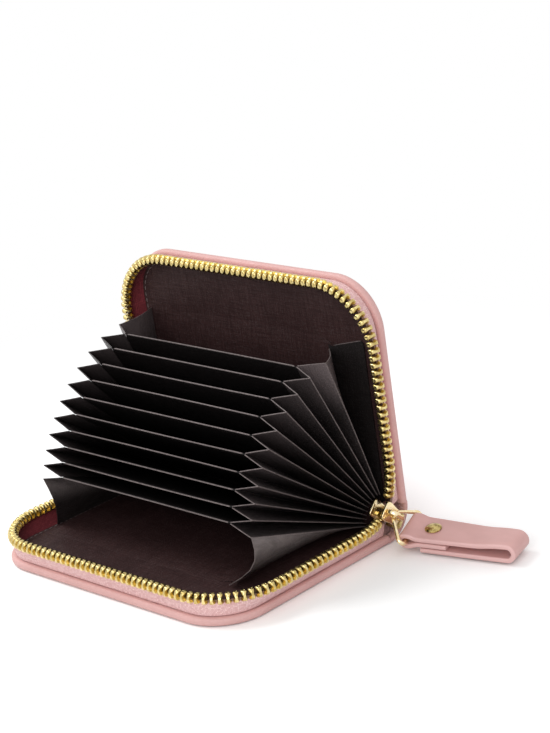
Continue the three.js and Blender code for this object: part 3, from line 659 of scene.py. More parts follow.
tape_finishes = [
    woven_tape("tape_weave", (0.65, 0.365, 0.360), (1.0, 0.735, 0.722), (0.13, 0.075, 0.04)),
    # The inside's dark maroon is partly its own colour and partly painted shade.
    woven_tape("tape_weave_inside", (0.095, 0.008, 0.013), (0.19, 0.024, 0.032), (0.05, 0.02, 0.012)),
]
foot_line = rim_path(FOOT_INSET, FOOT_INSET, COVER_CORNER - FOOT_INSET, 0.0, TAPE_START)
edge_line = rim_path(*RIM_LINE, TAPE_START)
foot_out = path_normals(foot_line)
edge_out = path_normals(edge_line)
tape_heights = (TAPE_FOOT, 6.7, 5.9, 5.0, 4.1, TAPE_NECK, 2.6, 2.2)
tape_section = [(height, TAPE / 2) for height in tape_heights]
tape_section += [(TAPE_TOP, 0.2), (TAPE_TOP, -0.2)]
tape_section += [(height, -TAPE / 2) for height in tape_heights[::-1]]
tape_rings = []
for i in range(len(foot_line)):
    ring = []
    for height, off in tape_section:
        share = min(1.0, (TAPE_FOOT - height) / (TAPE_FOOT - TAPE_NECK))
        middle = foot_line[i] * (1 - share) + edge_line[i] * share
        out = foot_out[i] * (1 - share) + edge_out[i] * share
        bulge = TAPE_BULGE * math.sin(math.pi * share)
        ring.append((*(middle + out * (off + bulge)), height))
    tape_rings.append(np.array(ring))
tape_points, tape_faces = skin(tape_rings)
tape_uv = [(run, height) for run in run_along(edge_line) for height, _ in tape_section]
for half, place in HALVES.items():
    tape = piece(f"{half}_tape", tape_points, tape_faces, place, tape_finishes)
    set_uv(tape, tape_uv)
    for polygon in tape.data.polygons:
        columns = [index % len(tape_section) for index in polygon.vertices]
        polygon.material_index = int(min(columns) >= len(tape_heights) and len(columns) == 4)
    fit(tape, f"{half}_half", "zip_tape", f"{half}_zip_tape")

# Zip teeth
# Polished brass teeth pressed on the edge of each tape, every one a rounded bead
# on two legs that grip the tape from both sides.
TOOTH_PITCH = 2.23
TOOTH_LENGTH = 1.45
TOOTH_SLOT = 0.43
CHAIN_START = 3.4


def metal(name, low, high, roughness, scratch=0.08):
    material, tree = new_finish(name, roughness, metallic=1.0)
    patch = noise(tree, 0.8, 3.0)
    colour = between(ramp(patch, 0.3, 0.7), low, high)
    rub = noise(tree, 1.3, 4.0, (1, 6, 6))
    gloss = ramp(rub, 0.25, 0.75, roughness - scratch, roughness + scratch)
    return coat(material, colour, rub, 0.000012, 0.6, gloss)


# Depth from the closing plane, half length along the chain and half width across it.
# The first level is the dimple in the head.
TOOTH_LEVELS = (
    (0.32, 0.20, 0.24),
    (0.15, 0.50, 0.62),
    (0.36, 0.76, 0.94),
    (0.78, 0.80, 1.16),
    (1.15, 0.64, 1.38),
    (1.45, 0.57, 1.60),
    (1.80, 0.66, 1.69),
)
TOOTH_LEGS = ((2.35, 0.86, 1.60), (2.95, 1.00, 1.42))


def tooth_ring(depth, along, across, slot):
    corner = 0.58 * along
    one_side = [(corner, -across), (along, -slot), (along, slot), (corner, across)]
    other_side = [(-x, -y) for x, y in one_side]
    return np.array([(x, y, depth) for x, y in one_side + other_side])


def tooth_shape():
    rings = [tooth_ring(depth, along, across, 0.42 * across) for depth, along, across in TOOTH_LEVELS[:-1]]
    rings.append(tooth_ring(*TOOTH_LEVELS[-1], TOOTH_SLOT))
    points, faces = skin(rings, capped=False)
    faces.append(range(8))
    base = len(points) - 8
    faces.append((base + 1, base + 2, base + 5, base + 6))
    points = list(points)
    for leg in ((2, 3, 4, 5), (6, 7, 0, 1)):
        above_leg = [base + i for i in leg]
        for depth, along, across in TOOTH_LEGS:
            ring = tooth_ring(depth, along, across, TOOTH_SLOT)
            below = list(range(len(points), len(points) + 4))
            points += [ring[i] for i in leg]
            for i in range(4):
                j = (i + 1) % 4
                faces.append((above_leg[i], above_leg[j], below[j], below[i]))
            above_leg = below
        faces.append(above_leg)
    return piece("zip_tooth", points, faces, Matrix.Identity(4), [])


def cut_path(path, start, end):
    run = run_along(path)
    at = np.concatenate(([start], run[(run > start) & (run < end)], [end]))
    return np.column_stack([np.interp(at, run, line) for line in path.T])


brass = metal("polished_brass", (0.54, 0.415, 0.150), (0.82, 0.675, 0.320), 0.28)
zip_tooth = tooth_shape()
chain = rim_path(*RIM_LINE, CHAIN_START)
chain_length = run_along(chain)[-1]
tooth_count = math.floor((chain_length - TOOTH_LENGTH) / TOOTH_PITCH + 0.5)
first_tooth = chain_length / 2 - (tooth_count / 2 - 0.25) * TOOTH_PITCH
chain = cut_path(chain, first_tooth, first_tooth + (tooth_count - 1) * TOOTH_PITCH)
chain = np.column_stack((chain, np.zeros(len(chain))))
for half, place in HALVES.items():
    teeth = row_along(f"{half}_teeth", chain, zip_tooth, tooth_count, brass, place, sharp=60)
    fit(teeth, f"{half}_half", "zip_teeth", f"{half}_zip_teeth")
bpy.data.objects.remove(zip_tooth)

# Top stops
# A brass clip on each tape end, beyond the last tooth. It is folded round the tape and pressed shut,
# so that its edges are rounded.
CLIP_EASE = 0.00025


# A metal piece with the solid's own shape and its edges eased, in that solid's place.
def fit_eased(name, node, width, finish, body, slot):
    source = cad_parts[node]
    shape = bmesh.new()
    shape.from_mesh(source.data)
    shape.transform(source.matrix_world)
    bmesh.ops.remove_doubles(shape, verts=shape.verts, dist=1e-6)
    bmesh.ops.dissolve_limit(shape, angle_limit=math.radians(2), verts=shape.verts, edges=shape.edges)
    edges = [edge for edge in shape.edges if edge.calc_face_angle(0) > math.radians(30)]
    settings = {"offset": width, "segments": 2, "profile": 0.5, "affect": "EDGES", "clamp_overlap": True}
    bmesh.ops.bevel(shape, geom=edges, **settings)
    bmesh.ops.recalc_face_normals(shape, faces=shape.faces)
    mesh = bpy.data.meshes.new(name)
    shape.to_mesh(mesh)
    shape.free()
    mesh.materials.append(finish)
    fit(shown(name, mesh, 40), body, slot, node)


for half in HALVES:
    fit_eased(f"{half}_end_clip", f"{half}_top_stop", CLIP_EASE, brass, f"{half}_half", "zip_teeth")

# Accordion end panels
# The outer leaves of the accordion, glued flat on the two linings. On the slider's side the upper one shows
# as a dark flange with a slanted front edge; the flange takes the darker pocket cloth as painted shade.
LEAVES = 10
LEAF_WIDTH = 73.4
LEAF_REACH = 53.0
LEAF_CORNER = 2.0
RIM_WIDTH = 0.22
PLEAT_WIDTH = 8.6
END_PANEL = 0.3
END_PANEL_DEPTH = 5.85
END_PANEL_COLUMNS = 33
END_PANEL_LIFT = 0.35
PASTED_REACH = 8.0
PASTED_LIFT = 0.75
FLANGE_START = 31.5
FLANGE_EASE = 3.0
FLANGE_SLANT = 0.07
FLANGE_DROP = 0.6


# Distances forward along a leaf, close together at its corner, with one where its pale rim starts.
def leaf_rows(start):
    turned = LEAF_REACH - LEAF_CORNER
    corner = LEAF_CORNER * np.sin(np.radians(np.linspace(0, 90, 7)))
    flat = np.linspace(start, turned, 15)[:-1]
    return np.unique(np.concatenate((flat, turned + corner, [LEAF_REACH - RIM_WIDTH])))


# The leaves take a darker copy of the accordion cloth, as painted shade deep between them.
leaf_cloth = lining_cloth("leaf_cloth", (0.0040, 0.0028, 0.0028), (0.0095, 0.0072, 0.0072), 0.5, 0.2)
pocket_colours = ((0.0065, 0.0050, 0.0050), (0.0185, 0.0147, 0.0147))
pocket_cloth = lining_cloth("pocket_cloth", *pocket_colours, 0.45, 0.2, (0.040, 0.0315, 0.0318))
edge_colours = ((0.088, 0.069, 0.068), (0.180, 0.146, 0.143))
edge_look = {"specular": 0.35, "spread": (0.3, 0.7)}
edge_finish = fibrous("pale_folded_edge", *edge_colours, 0.6, 2.2, 3.0, 0.00006, **edge_look)
rim_from = LEAF_REACH - RIM_WIDTH - 1e-6
panel_side = LEAF_WIDTH / 2 + PLEAT_WIDTH
panel_rows = leaf_rows(0.0)
for half, place in HALVES.items():
    slider_side = 1 if half == "lower" else -1
    panel_grid = np.zeros((len(panel_rows), END_PANEL_COLUMNS, 3))
    for row, forward in enumerate(panel_rows):
        reach = half_width_at(forward, panel_side, LEAF_REACH, LEAF_CORNER)
        along = np.linspace(-reach, reach, END_PANEL_COLUMNS)
        flange = np.clip((along * slider_side - FLANGE_START + FLANGE_EASE) / FLANGE_EASE, 0, 1)
        pasted = np.clip((forward - LEAF_REACH + PASTED_REACH) / PASTED_REACH, 0, 1) ** 2
        depth = END_PANEL_DEPTH + END_PANEL_LIFT + pasted * (PASTED_LIFT - FLANGE_DROP * flange)
        slant = (panel_side - along * slider_side) / (panel_side - FLANGE_START)
        slanted = FLANGE_SLANT * flange * np.clip(slant, 0, 1)
        panel_grid[row] = np.column_stack((along, forward * (1 - slanted), depth))
    points, faces = sheet(panel_grid, END_PANEL)
    panel = piece(f"{half}_outer_leaf", points, faces, place, [lining_finish, pocket_cloth, edge_finish])
    for polygon in panel.data.polygons:
        cells = [divmod(index % (len(points) // 2), END_PANEL_COLUMNS) for index in polygon.vertices]
        at_front = min(panel_rows[row] for row, _ in cells) >= rim_from
        on_flange = min(panel_grid[cell][0] * slider_side for cell in cells) > FLANGE_START - 1
        # Painted shade: the upper flange takes the darker pocket cloth.
        if half == "upper" and on_flange:
            polygon.material_index = 2 if at_front else 1
    fit(panel, f"{half}_half", "lining", f"{half}_end_panel")

# Dividers
# Ten stiff leaves of the same cloth that fan out between the covers. The front edge of each
# is folded over and shows as a thin pale rim.
LEAF = 0.45
LEAF_RIM = 0.34
LEAF_ROOT = 2.5
LEAF_COLUMNS = 25
LEAF_SAG = 0.16
LEAF_OVERLAP = 0.2
LEAF_SPACING = 2 * END_PANEL_DEPTH / (LEAVES + 1)
FAN_LOW = 20.0
FAN_HIGH = 66.0
FAN_EASE = 0.27


def leaf_angle(number):
    if number == 0:
        return 0.0
    if number > LEAVES:
        return math.radians(OPEN_ANGLE)
    share = (number - 1) / (LEAVES - 1)
    return math.radians(FAN_LOW + (FAN_HIGH - FAN_LOW) * (share + FAN_EASE * share * (share - 1)))


# Forward along a leaf and off its face, beside the hinge line.
def leaf_point(number, forward, lift):
    angle = leaf_angle(number)
    off = (number - (LEAVES + 1) / 2) * LEAF_SPACING + lift
    return np.array((
        -forward * math.cos(angle) + off * math.sin(angle),
        forward * math.sin(angle) + off * math.cos(angle),
    ))


divider_rows = leaf_rows(-LEAF_ROOT)
for number in range(1, LEAVES + 1):
    grid = np.zeros((len(divider_rows), LEAF_COLUMNS, 3))
    thickness = np.full((len(divider_rows), LEAF_COLUMNS), LEAF)
    thickness[divider_rows >= LEAF_REACH - RIM_WIDTH] = LEAF_RIM
    for row, forward in enumerate(divider_rows):
        reach = half_width_at(forward, LEAF_WIDTH / 2 + LEAF_OVERLAP, LEAF_REACH, LEAF_CORNER)
        sag = LEAF_SAG * math.sin(2.1 * number) * (max(forward, 0) / LEAF_REACH) ** 2
        for column, at in enumerate(np.linspace(-reach, reach, LEAF_COLUMNS)):
            lift = sag * math.cos(math.pi * at / (LEAF_WIDTH + 1))
            grid[row, column] = (at, *leaf_point(number, forward, lift))
    points, faces = sheet(grid, thickness)
    divider = piece(f"pocket_leaf_{number:02d}", points, faces, ABOUT_HINGE, [leaf_cloth, edge_finish])
    for polygon in divider.data.polygons:
        rows = [index % (len(points) // 2) // LEAF_COLUMNS for index in polygon.vertices]
        polygon.material_index = int(min(divider_rows[rows]) >= rim_from)
    fit(divider, f"leaf_{number:02d}", "accordion", f"divider_{number:02d}")

# Accordion back
# A strip of the leaves' cloth, glued behind their roots so that it closes the bottoms of the pockets.
# It runs along the leaves' roots where they fan out.
BACK = 0.35
BACK_ENDS = (-41.6, 40.0)
BACK_COLUMNS = 13
BACK_GAP = 0.45


# The share of the hinge's turn that a leaf follows.
def leaf_share(number):
    return leaf_angle(number) / math.radians(OPEN_ANGLE)


back_grid = np.zeros((2 * LEAVES - 1, BACK_COLUMNS, 3))
back_share = np.zeros((2 * LEAVES - 1, BACK_COLUMNS))
for row in range(2 * LEAVES - 1):
    pair = (1 + row // 2, min(LEAVES, 1 + row // 2 + row % 2))
    back_grid[row, :, 0] = np.linspace(*BACK_ENDS, BACK_COLUMNS)
    back_grid[row, :, 1:] = sum(leaf_point(number, -LEAF_ROOT - BACK_GAP, 0) for number in pair) / 2
    back_share[row] = sum(leaf_share(number) for number in pair) / 2
back_strip = piece("accordion_back_strip", *sheet(back_grid, BACK), ABOUT_HINGE, [leaf_cloth])
follow_hinge(back_strip, "accordion_back")

# Pleats
# The folded ends of the accordion: between two leaves the cloth runs out to a crease and back.
# On the slider's side the crease and the front edge are pressed sharp and have worn pale.
PLEAT = 0.26
PLEAT_START = {-1: -2.4, 1: 2.0}
PLEAT_OFFSET = 0.2
PLEAT_GAP = 0.3
PLEAT_SLACK = -0.35
PLEAT_STEPS = (0.2, 0.4, 0.6, 0.8)
CREASE_WIDTH = 0.2
CREASE_COLUMNS = (5, 6, 7)
LIFT_ON_PANEL = 0.08
LIFT_ON_LINING = -0.72

# The two outer pleats at either end are pasted down, on the end panels or beyond them on the linings.
# For each: how far beyond the leaf's end, at what share of the reach, how far the cloth bulges there,
# and at what share of the gap the crease is.
PASTED = {
    (0, -1): (11.0, 0.88, -2.0, 0.9),
    (0, 1): (-2.0, 1.0, 6.0, 0.86),
    (LEAVES, -1): (9.5, 0.97, -1.5, 0.22),
    (LEAVES, 1): (-5.5, 0.915, 1.4, 0.22),
}

# The two lowest pleats hang slack, with painted light along the crease. The painted light of each column:
HUNG_PAINTED_LIGHT = {
    -1: (0.5, 0.55, 0.6, 0.72, 0.9, 0.95, 0.9, 0.7, 0.6, 0.55, 0.5, 0.5, 0.5),
    1: (0.66, 0.71, 0.76, 0.80, 0.83, 0.84, 0.80, 0.68, 0.62, 0.6, 0.55, 0.5, 0.5),
}


# A row of points across a pleat, and the share of the hinge's turn that each of them follows.
def pleat_section(lower, forward, side):
    start = leaf_point(lower, forward, PLEAT_OFFSET)
    end = leaf_point(lower + 1, forward, -PLEAT_OFFSET)
    pasted = PASTED.get((lower, side))
    share = pasted[3] if pasted else 0.5
    climb = min(share, 1 - share) * np.linalg.norm(end - start)
    fold = math.sqrt(PLEAT_WIDTH**2 - climb**2)
    corners = np.array(((0.0, *start), (fold, *(start + (end - start) * share)), (0.0, *end)))
    slacks = [PLEAT_SLACK, PLEAT_SLACK]
    if pasted:
        out, reach, bulge, _ = pasted
        lift = LIFT_ON_PANEL if out < PLEAT_WIDTH else LIFT_ON_LINING
        spread = out * min(1.0, 0.5 + max(forward, 0) / 25)
        if lower == 0:
            corners[0] = (spread, *leaf_point(0, forward * reach, lift))
            slacks[0] = bulge
        else:
            corners[2] = (spread, *leaf_point(LEAVES + 1, forward * reach, -lift))
            slacks[1] = bulge
    low = leaf_share(lower)
    high = leaf_share(lower + 1)
    turns = (low, low + (high - low) * share, high)
    points = []
    shares = []
    for panel in (0, 1):
        span = corners[panel + 1] - corners[panel]
        width = np.linalg.norm(span)
        crease = CREASE_WIDTH / width
        steps = (crease, *PLEAT_STEPS, 1.0) if panel else (0.0, *PLEAT_STEPS, 1 - crease, 1.0)
        for step in steps:
            bow = slacks[panel] * math.sin(math.pi * step) * max(forward, 0) / LEAF_REACH
            bow *= np.linalg.norm(span[1:]) / width
            out, y, z = corners[panel] + span * step
            points.append((side * (LEAF_WIDTH / 2 + PLEAT_GAP + out + bow), y, z))
            shares.append(turns[panel] + (turns[panel + 1] - turns[panel]) * step)
    return points, shares


# All other pleats have painted light towards their front edge, the top ones most of all. The top pleats take
# a lighter copy of the cloth, as painted light.
top_pleat_lit_colours = ((0.012, 0.0094, 0.0094), (0.032, 0.0252, 0.0254))
top_pleat_lit_cloth = lining_cloth("top_pleat_lit_cloth", *top_pleat_lit_colours, 0.42, 0.3, (0.125, 0.0985, 0.0995))
# The lowest pleats take a lighter copy of the cloth, as painted light.
low_pleat_lit_colours = ((0.014, 0.0110, 0.0110), (0.036, 0.0284, 0.0286))
low_pleat_lit_cloth = lining_cloth("low_pleat_lit_cloth", *low_pleat_lit_colours, 0.42, 0.3, (0.190, 0.158, 0.155))
for lower in range(LEAVES + 1):
    for hand, side in (("left", -1), ("right", 1)):
        pleat_rows = np.linspace(PLEAT_START[side], LEAF_REACH - RIM_WIDTH, 11)
        pleat_rows = np.concatenate((pleat_rows, [LEAF_REACH]))
        sections = [pleat_section(lower, forward, side) for forward in pleat_rows]
        grid = np.array([points for points, _ in sections])
        width = grid.shape[1]
        points, faces = sheet(grid, PLEAT)
        cloth = {0: low_pleat_lit_cloth, LEAVES: top_pleat_lit_cloth}.get(lower, pocket_cloth)
        # Painted light grows towards the front edge; the lowest pleats take the listed painted light of each
        # column.
        painted_light = np.repeat(pleat_rows / LEAF_REACH, width)
        if lower == 0:
            painted_light = np.tile(HUNG_PAINTED_LIGHT[side], len(pleat_rows))
        pleat = piece(f"{hand}_pleat_{lower + 1:02d}", points, faces, ABOUT_HINGE, [cloth, edge_finish])
        mark(pleat, "painted_light", np.tile(painted_light, 2))
        for polygon in pleat.data.polygons:
            cells = [divmod(index % (len(points) // 2), width) for index in polygon.vertices]
            at_front = min(row for row, _ in cells) >= len(pleat_rows) - 2
            on_crease = all(column in CREASE_COLUMNS for _, column in cells)
            polygon.material_index = int(side == 1 and (at_front or on_crease))
        follow_hinge(pleat, f"{hand}_gusset_{lower + 1:02d}")

# Slider and the joined end of the zip
# A die-cast slider in pale gold with a hoop on its outer plate. Behind it the last teeth stay meshed,
# and a brass clip holds them.
pale_gold = metal("pale_gold_plate", (0.84, 0.66, 0.36), (0.92, 0.79, 0.52), 0.2)
fit_eased("slider_casting", "slider_body", 0.00018, pale_gold, "slider", "pull_metal")
fit_eased("slider_hoop", "slider_bridge", 0.0003, pale_gold, "slider", "pull_metal")
fit_eased("zip_meshed_end", "zip_closed_end", 0.0004, brass, "slider", "zip_teeth")
fit_eased("zip_end_clip", "zip_bottom_stop", 0.00012, brass, "slider", "zip_teeth")

# Pull ring
# A loop of round wire in the same pale gold, drawn thinner towards the slider's hoop that it hangs in.
# Its straight side carries the strap.
WIRE = 1.5
WIRE_TAPER = 0.35
RING_LENGTH = 6.8
RING_BEND = 1.3
RING_NECK = 1.5
RING_BAR = Vector((0.058980, 0.038204, 0.005197))
RING_TOP = Vector((0.0547, 0.036, 0.010))
BAR_ALONG = Vector((-0.253163, 0.944818, 0.207912)).normalized()
STRAP_WIDTH = 12.0
STRAP_SIDE_GAP = 0.2


# Faces between rings of points, with the last ring joined to the first.
def loop_skin(rings, closed=True):
    points, faces = skin(rings + rings[:1], closed, capped=False)
    points = points[: -len(rings[0])]
    return points, [[index % len(points) for index in face] for face in faces]


ring_up = (RING_TOP - RING_BAR).normalized()
ring_up = (ring_up - BAR_ALONG * ring_up.dot(BAR_ALONG)).normalized()
ring_foot = STRAP_WIDTH / 2 + STRAP_SIDE_GAP
ring_high = RING_LENGTH - RING_BEND
ring_lean = math.degrees(math.atan2(ring_foot - RING_NECK, ring_high - RING_BEND))
ring_half = joined(
    straight((0, 0), (ring_foot, 0), 6),
    arc((ring_foot, RING_BEND), RING_BEND, -90, ring_lean, 12),
    arc((RING_NECK, ring_high), RING_BEND, ring_lean, 90, 8),
    straight((RING_NECK, RING_LENGTH), (0, RING_LENGTH), 3),
)
ring_line = np.concatenate((ring_half[:-1], (ring_half[::-1] * (-1, 1))[:-1]))
ring_ahead = unit(np.roll(ring_line, -1, axis=0) - np.roll(ring_line, 1, axis=0))
wire_round = arc((0, 0), WIRE / 2, 0, 360, 14)[:-1]
ring_rings = []
for middle, heading in zip(ring_line, ring_ahead):
    sideways = np.array((heading[1], -heading[0]))
    drawn_wire = wire_round * (1 - WIRE_TAPER * middle[1] / RING_LENGTH)
    ring_rings.append(np.array([(*(middle + sideways * off), lift) for off, lift in drawn_wire]))
ring_axes = axes(BAR_ALONG, ring_up, BAR_ALONG.cross(ring_up))
ring_place = Matrix.Translation(RING_BAR) @ ring_axes @ MILLIMETRES
ring = piece("wire_ring", *loop_skin(ring_rings), ring_place, [pale_gold])
fit(ring, "ring", "pull_metal", "pull_ring")

# Pull strap
# One strip of smooth pink leather with painted edges. It wraps the ring, returns on itself
# and is riveted through its three layers, with the far end left as an open loop.
STRAP_LEATHER = 1.5
STRAP_LENGTH = 35.0
STRAP_ROLL = 12.0
STRAP_YAW = 15.0
STRAP_TAB = 13.0
STRAP_EYE_TAPER = 4.2
STRAP_LOOP_START = 20.0
STRAP_LOOP_GAP = 2.8
STRAP_LAYER_GAP = 0.3
STRAP_EDGE = 0.55
UNDER_MIDDLE = STRAP_LEATHER / 2
TAB_MIDDLE = UNDER_MIDDLE + STRAP_LEATHER + STRAP_LAYER_GAP
TOP_MIDDLE = TAB_MIDDLE + STRAP_LEATHER + STRAP_LAYER_GAP
EYE_MIDDLE = (TAB_MIDDLE + TOP_MIDDLE) / 2
EYE_RADIUS = WIRE / 2 + STRAP_LAYER_GAP + STRAP_LEATHER / 2
LOOP_RADIUS = (STRAP_LEATHER + STRAP_LOOP_GAP) / 2
RIVET_AT = 7.0
RIVET_HOLE = 1.4
HOLE_SIDES = 24
PUNCH_REACH = 9.0
TABLE_GAP = 0.0005


def bezier(a, b, c, d, steps):
    shares = np.linspace(0, 1, steps + 1)[:, None]
    rest = 1 - shares
    ends = np.array(a) * rest**3 + np.array(d) * shares**3
    return ends + 3 * np.array(b) * rest**2 * shares + 3 * np.array(c) * rest * shares**2


def smooth_leather():
    material, tree = new_finish("smooth_strap_leather", 0.46)
    pores = noise(tree, 3.2, 4.0)
    creases = noise(tree, 0.16, 2.0, (0.6, 1, 1))
    tone = ramp(creases, 0.25, 0.75)
    base = between(tone, (0.630, 0.350, 0.328), (0.690, 0.392, 0.370))
    colour = between(marked(tree, "painted_edge"), base, (0.75, 0.46, 0.44))
    return coat(material, colour, pores, 0.000035, 0.7, ramp(pores, 0.2, 0.8, 0.52, 0.4))


# The strap is turned about its length at the ring and lies flat at its loop.
def turn_on_strap(points):
    share = np.clip(points[:, 0] / STRAP_LENGTH, 0, 1)
    roll_here = math.radians(STRAP_ROLL) * (1 - share)
    up = points[:, 1] - EYE_MIDDLE
    lift = STRAP_WIDTH / 2 * np.sin(roll_here)
    return np.column_stack((
        points[:, 0],
        EYE_MIDDLE + up * np.cos(roll_here) - points[:, 2] * np.sin(roll_here) + lift,
        points[:, 2] * np.cos(roll_here) + up * np.sin(roll_here),
    ))


bend = STRAP_EYE_TAPER / 2
loop_middle = UNDER_MIDDLE + LOOP_RADIUS
loop_high = loop_middle + LOOP_RADIUS
loop_end = STRAP_LENGTH - LOOP_RADIUS - STRAP_LEATHER / 2
rise_at = (loop_end + STRAP_LOOP_START) / 2
eye_low = EYE_MIDDLE - EYE_RADIUS
eye_high = EYE_MIDDLE + EYE_RADIUS
loop_start = (STRAP_LOOP_START, TOP_MIDDLE)
strap_line = joined(
    straight((STRAP_TAB, TAB_MIDDLE), (STRAP_EYE_TAPER, TAB_MIDDLE), 10),
    bezier((STRAP_EYE_TAPER, TAB_MIDDLE), (bend, TAB_MIDDLE), (bend, eye_low), (0, eye_low), 8),
    arc((0, EYE_MIDDLE), EYE_RADIUS, -90, -270, 18),
    bezier((0, eye_high), (bend, eye_high), (bend, TOP_MIDDLE), (STRAP_EYE_TAPER, TOP_MIDDLE), 8),
    straight((STRAP_EYE_TAPER, TOP_MIDDLE), loop_start, 14),
    bezier(loop_start, (rise_at, TOP_MIDDLE), (rise_at, loop_high), (loop_end, loop_high), 12),
    arc((loop_end, loop_middle), LOOP_RADIUS, 90, -90, 18),
    straight((loop_end, UNDER_MIDDLE), (STRAP_EYE_TAPER + STRAP_LAYER_GAP, UNDER_MIDDLE), 22),
)
half_leather = STRAP_LEATHER / 2
half_width = STRAP_WIDTH / 2
flat = half_leather - STRAP_EDGE
side = half_width - STRAP_EDGE
strap_section = np.concatenate((
    arc((flat, -side), STRAP_EDGE, 0, -90, 4),
    arc((-flat, -side), STRAP_EDGE, -90, -180, 4),
    straight((-half_leather, -2), (-half_leather, 2), 2),
    arc((-flat, side), STRAP_EDGE, 180, 90, 4),
    arc((flat, side), STRAP_EDGE, 90, 0, 4),
    straight((half_leather, 2), (half_leather, -2), 2),
))
strap_rings = []
for middle, heading in zip(strap_line, unit(np.gradient(strap_line, axis=0))):
    sideways = np.array((-heading[1], heading[0]))
    strap_rings.append(np.array([(*(middle + sideways * off), across) for off, across in strap_section]))
strap_points, strap_faces = skin(strap_rings)
on_edge = np.abs(strap_section[:, 1]) > half_width - 0.75 * STRAP_EDGE
strap_up = Vector((0, 0, 1))
strap_along = Vector((math.cos(math.radians(STRAP_YAW)), math.sin(math.radians(STRAP_YAW)), 0))
strap_axes = axes(strap_along, strap_up, strap_along.cross(strap_up))
STRAP_PLACE = Matrix.Translation((RING_BAR.x, RING_BAR.y, TABLE_GAP)) @ strap_axes @ MILLIMETRES
strap_leather = smooth_leather()
strap = piece("strap_leather", turn_on_strap(strap_points), strap_faces, STRAP_PLACE, [strap_leather], 45)
mark(strap, "painted_edge", np.tile(on_edge, len(strap_rings)))

# The rivet's hole goes straight through the three layers, square to the strap there.
rivet_roll = math.radians(STRAP_ROLL) * (1 - RIVET_AT / STRAP_LENGTH)
rivet_lift = STRAP_WIDTH / 2 * math.sin(rivet_roll)
RIVET_PLACE = (
    STRAP_PLACE
    @ Matrix.Translation((RIVET_AT, EYE_MIDDLE + rivet_lift, 0))
    @ Matrix.Rotation(rivet_roll, 4, "X")
)
hole_x, hole_z = arc((0, 0), RIVET_HOLE, 0, 360, HOLE_SIDES)[:-1].T
punch_ends = (-PUNCH_REACH, PUNCH_REACH)
punch_rings = [np.column_stack((hole_x, np.full(HOLE_SIDES, end), hole_z)) for end in punch_ends]
punch = piece("strap_punch", *skin(punch_rings), RIVET_PLACE, [strap_leather])
hole = strap.modifiers.new("hole", "BOOLEAN")
hole.operation = "DIFFERENCE"
hole.solver = "EXACT"
hole.object = punch
bpy.context.view_layer.update()
pierced = bpy.data.meshes.new_from_object(strap.evaluated_get(bpy.context.evaluated_depsgraph_get()))
strap.modifiers.clear()
strap.data = pierced
bpy.data.objects.remove(punch)
fit(strap, "strap", "strap_leather", "pull_strap")

# Rivet
# A domed cap in antique gold. Its post goes through the hole in the strap's three layers
# and is set in a plain washer underneath.
RIVET_CAP = 5.2
RIVET_POST = 2.4
RIVET_SIDES = 32
RIVET_FOOT = -0.2 - EYE_MIDDLE

# Share of the cap's radius and height above the strap, up the dome. The profile is turned
# about the rivet's axis, and closed at both ends.
CAP_RADII = (0.95, 1.0, 0.99, 0.93, 0.81, 0.62, 0.38, 0.1)
CAP_HEIGHTS = (0.0, 0.12, 0.34, 0.5, 0.68, 0.88, 1.04, 1.12)
antique_gold = metal("antique_gold", (0.24, 0.165, 0.045), (0.62, 0.48, 0.20), 0.22, 0.1)
cap_base = TOP_MIDDLE + STRAP_LEATHER / 2 + 0.05 - EYE_MIDDLE
cap_profile = [(0.3, RIVET_FOOT), (RIVET_POST / 2, RIVET_FOOT), (RIVET_POST / 2, cap_base)]
cap_profile += [(r * RIVET_CAP / 2, cap_base + h) for r, h in zip(CAP_RADII, CAP_HEIGHTS)]
cap_rings = []
for angle in np.arange(RIVET_SIDES) * 2 * math.pi / RIVET_SIDES:
    cap_rings.append(np.array([(r * math.cos(angle), h, r * math.sin(angle)) for r, h in cap_profile]))
cap_points, cap_faces = loop_skin(cap_rings, closed=False)
for end in (0, len(cap_profile) - 1):
    cap_faces.append([step * len(cap_profile) + end for step in range(RIVET_SIDES)])
rivet_cap = piece("rivet_dome", cap_points, cap_faces, RIVET_PLACE, [antique_gold], 30)
fit(rivet_cap, "strap", "rivet", "rivet_cap")
fit_eased("rivet_washer", "rivet_back", 0.00015, antique_gold, "strap", "rivet")

# Floor and light
# A white studio table that keeps the soft shadow, a large soft lamp at the upper left,
# a weaker one at the right and an even white surround.
FLOOR_REACH = 6.0
FLOOR_LEVEL = -0.0002
LAMP_AIM = Vector((0, 0.01, 0.03))


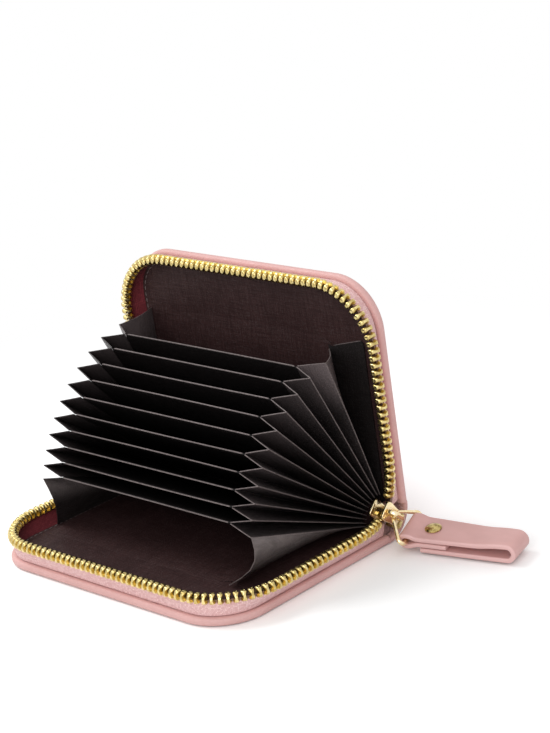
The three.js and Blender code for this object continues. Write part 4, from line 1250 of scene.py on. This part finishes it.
# One where a ray comes from the eye or from a polished surface, so that metal shows the same white.
def seen_by_eye(tree):
    path = add(tree, "ShaderNodeLightPath", {}, output=None)
    polished = math_of("MAXIMUM", path["Is Glossy Ray"], path["Is Transmission Ray"])
    return math_of("MAXIMUM", path["Is Camera Ray"], polished)


floor_mesh = bpy.data.meshes.new("floor")
floor_sides = [(-1, -1), (1, -1), (1, 1), (-1, 1)]
floor_corners = [(x * FLOOR_REACH, y * FLOOR_REACH, FLOOR_LEVEL) for x, y in floor_sides]
floor_mesh.from_pydata(floor_corners, [], [(0, 1, 2, 3)])
table = bpy.data.materials.new("white_table")
table.use_nodes = True
tree = table.node_tree
tree.nodes.remove(tree.nodes["Principled BSDF"])
seen = seen_by_eye(tree)
surface = add(tree, "ShaderNodeBsdfDiffuse", {"Color": (0.8, 0.8, 0.8, 1)})
near = add(tree, "ShaderNodeBsdfDiffuse", {"Color": (1.1, 1.1, 1.1, 1)})
far = add(tree, "ShaderNodeEmission", {"Color": (1, 1, 1, 1)})
place = add(tree, "ShaderNodeTexCoord", {}, output="Object")
distance = add(tree, "ShaderNodeVectorMath", {0: place}, operation="LENGTH", output="Value")
white = add(tree, "ShaderNodeMixShader", {0: ramp(distance, 0.10, 0.26), 1: near, 2: far})
mixed = add(tree, "ShaderNodeMixShader", {0: seen, 1: surface, 2: white})
tree.links.new(mixed, tree.nodes["Material Output"].inputs["Surface"])
floor_mesh.materials.append(table)
floor = linked("floor", floor_mesh)

surround = bpy.data.worlds.new("studio")
surround.use_nodes = True
scene.world = surround
tree = surround.node_tree
strength = ramp(seen_by_eye(tree), 0.0, 1.0, 0.7, 1.0)
backdrop = tree.nodes["Background"]
backdrop.inputs["Color"].default_value = (1, 1, 1, 1)
tree.links.new(strength, backdrop.inputs["Strength"])


def soft_lamp(name, at, size, power):
    lamp = bpy.data.lights.new(name, "AREA")
    lamp.shape = "DISK"
    lamp.size = size
    lamp.energy = power
    aim = (LAMP_AIM - Vector(at)).to_track_quat("-Z", "Y").to_matrix().to_4x4()
    linked(name, lamp).matrix_world = Matrix.Translation(at) @ aim


soft_lamp("key_lamp", (-0.62, -0.18, 0.85), 0.55, 5.0)
soft_lamp("fill_lamp", (0.55, -0.85, 0.6), 0.9, 4.5)
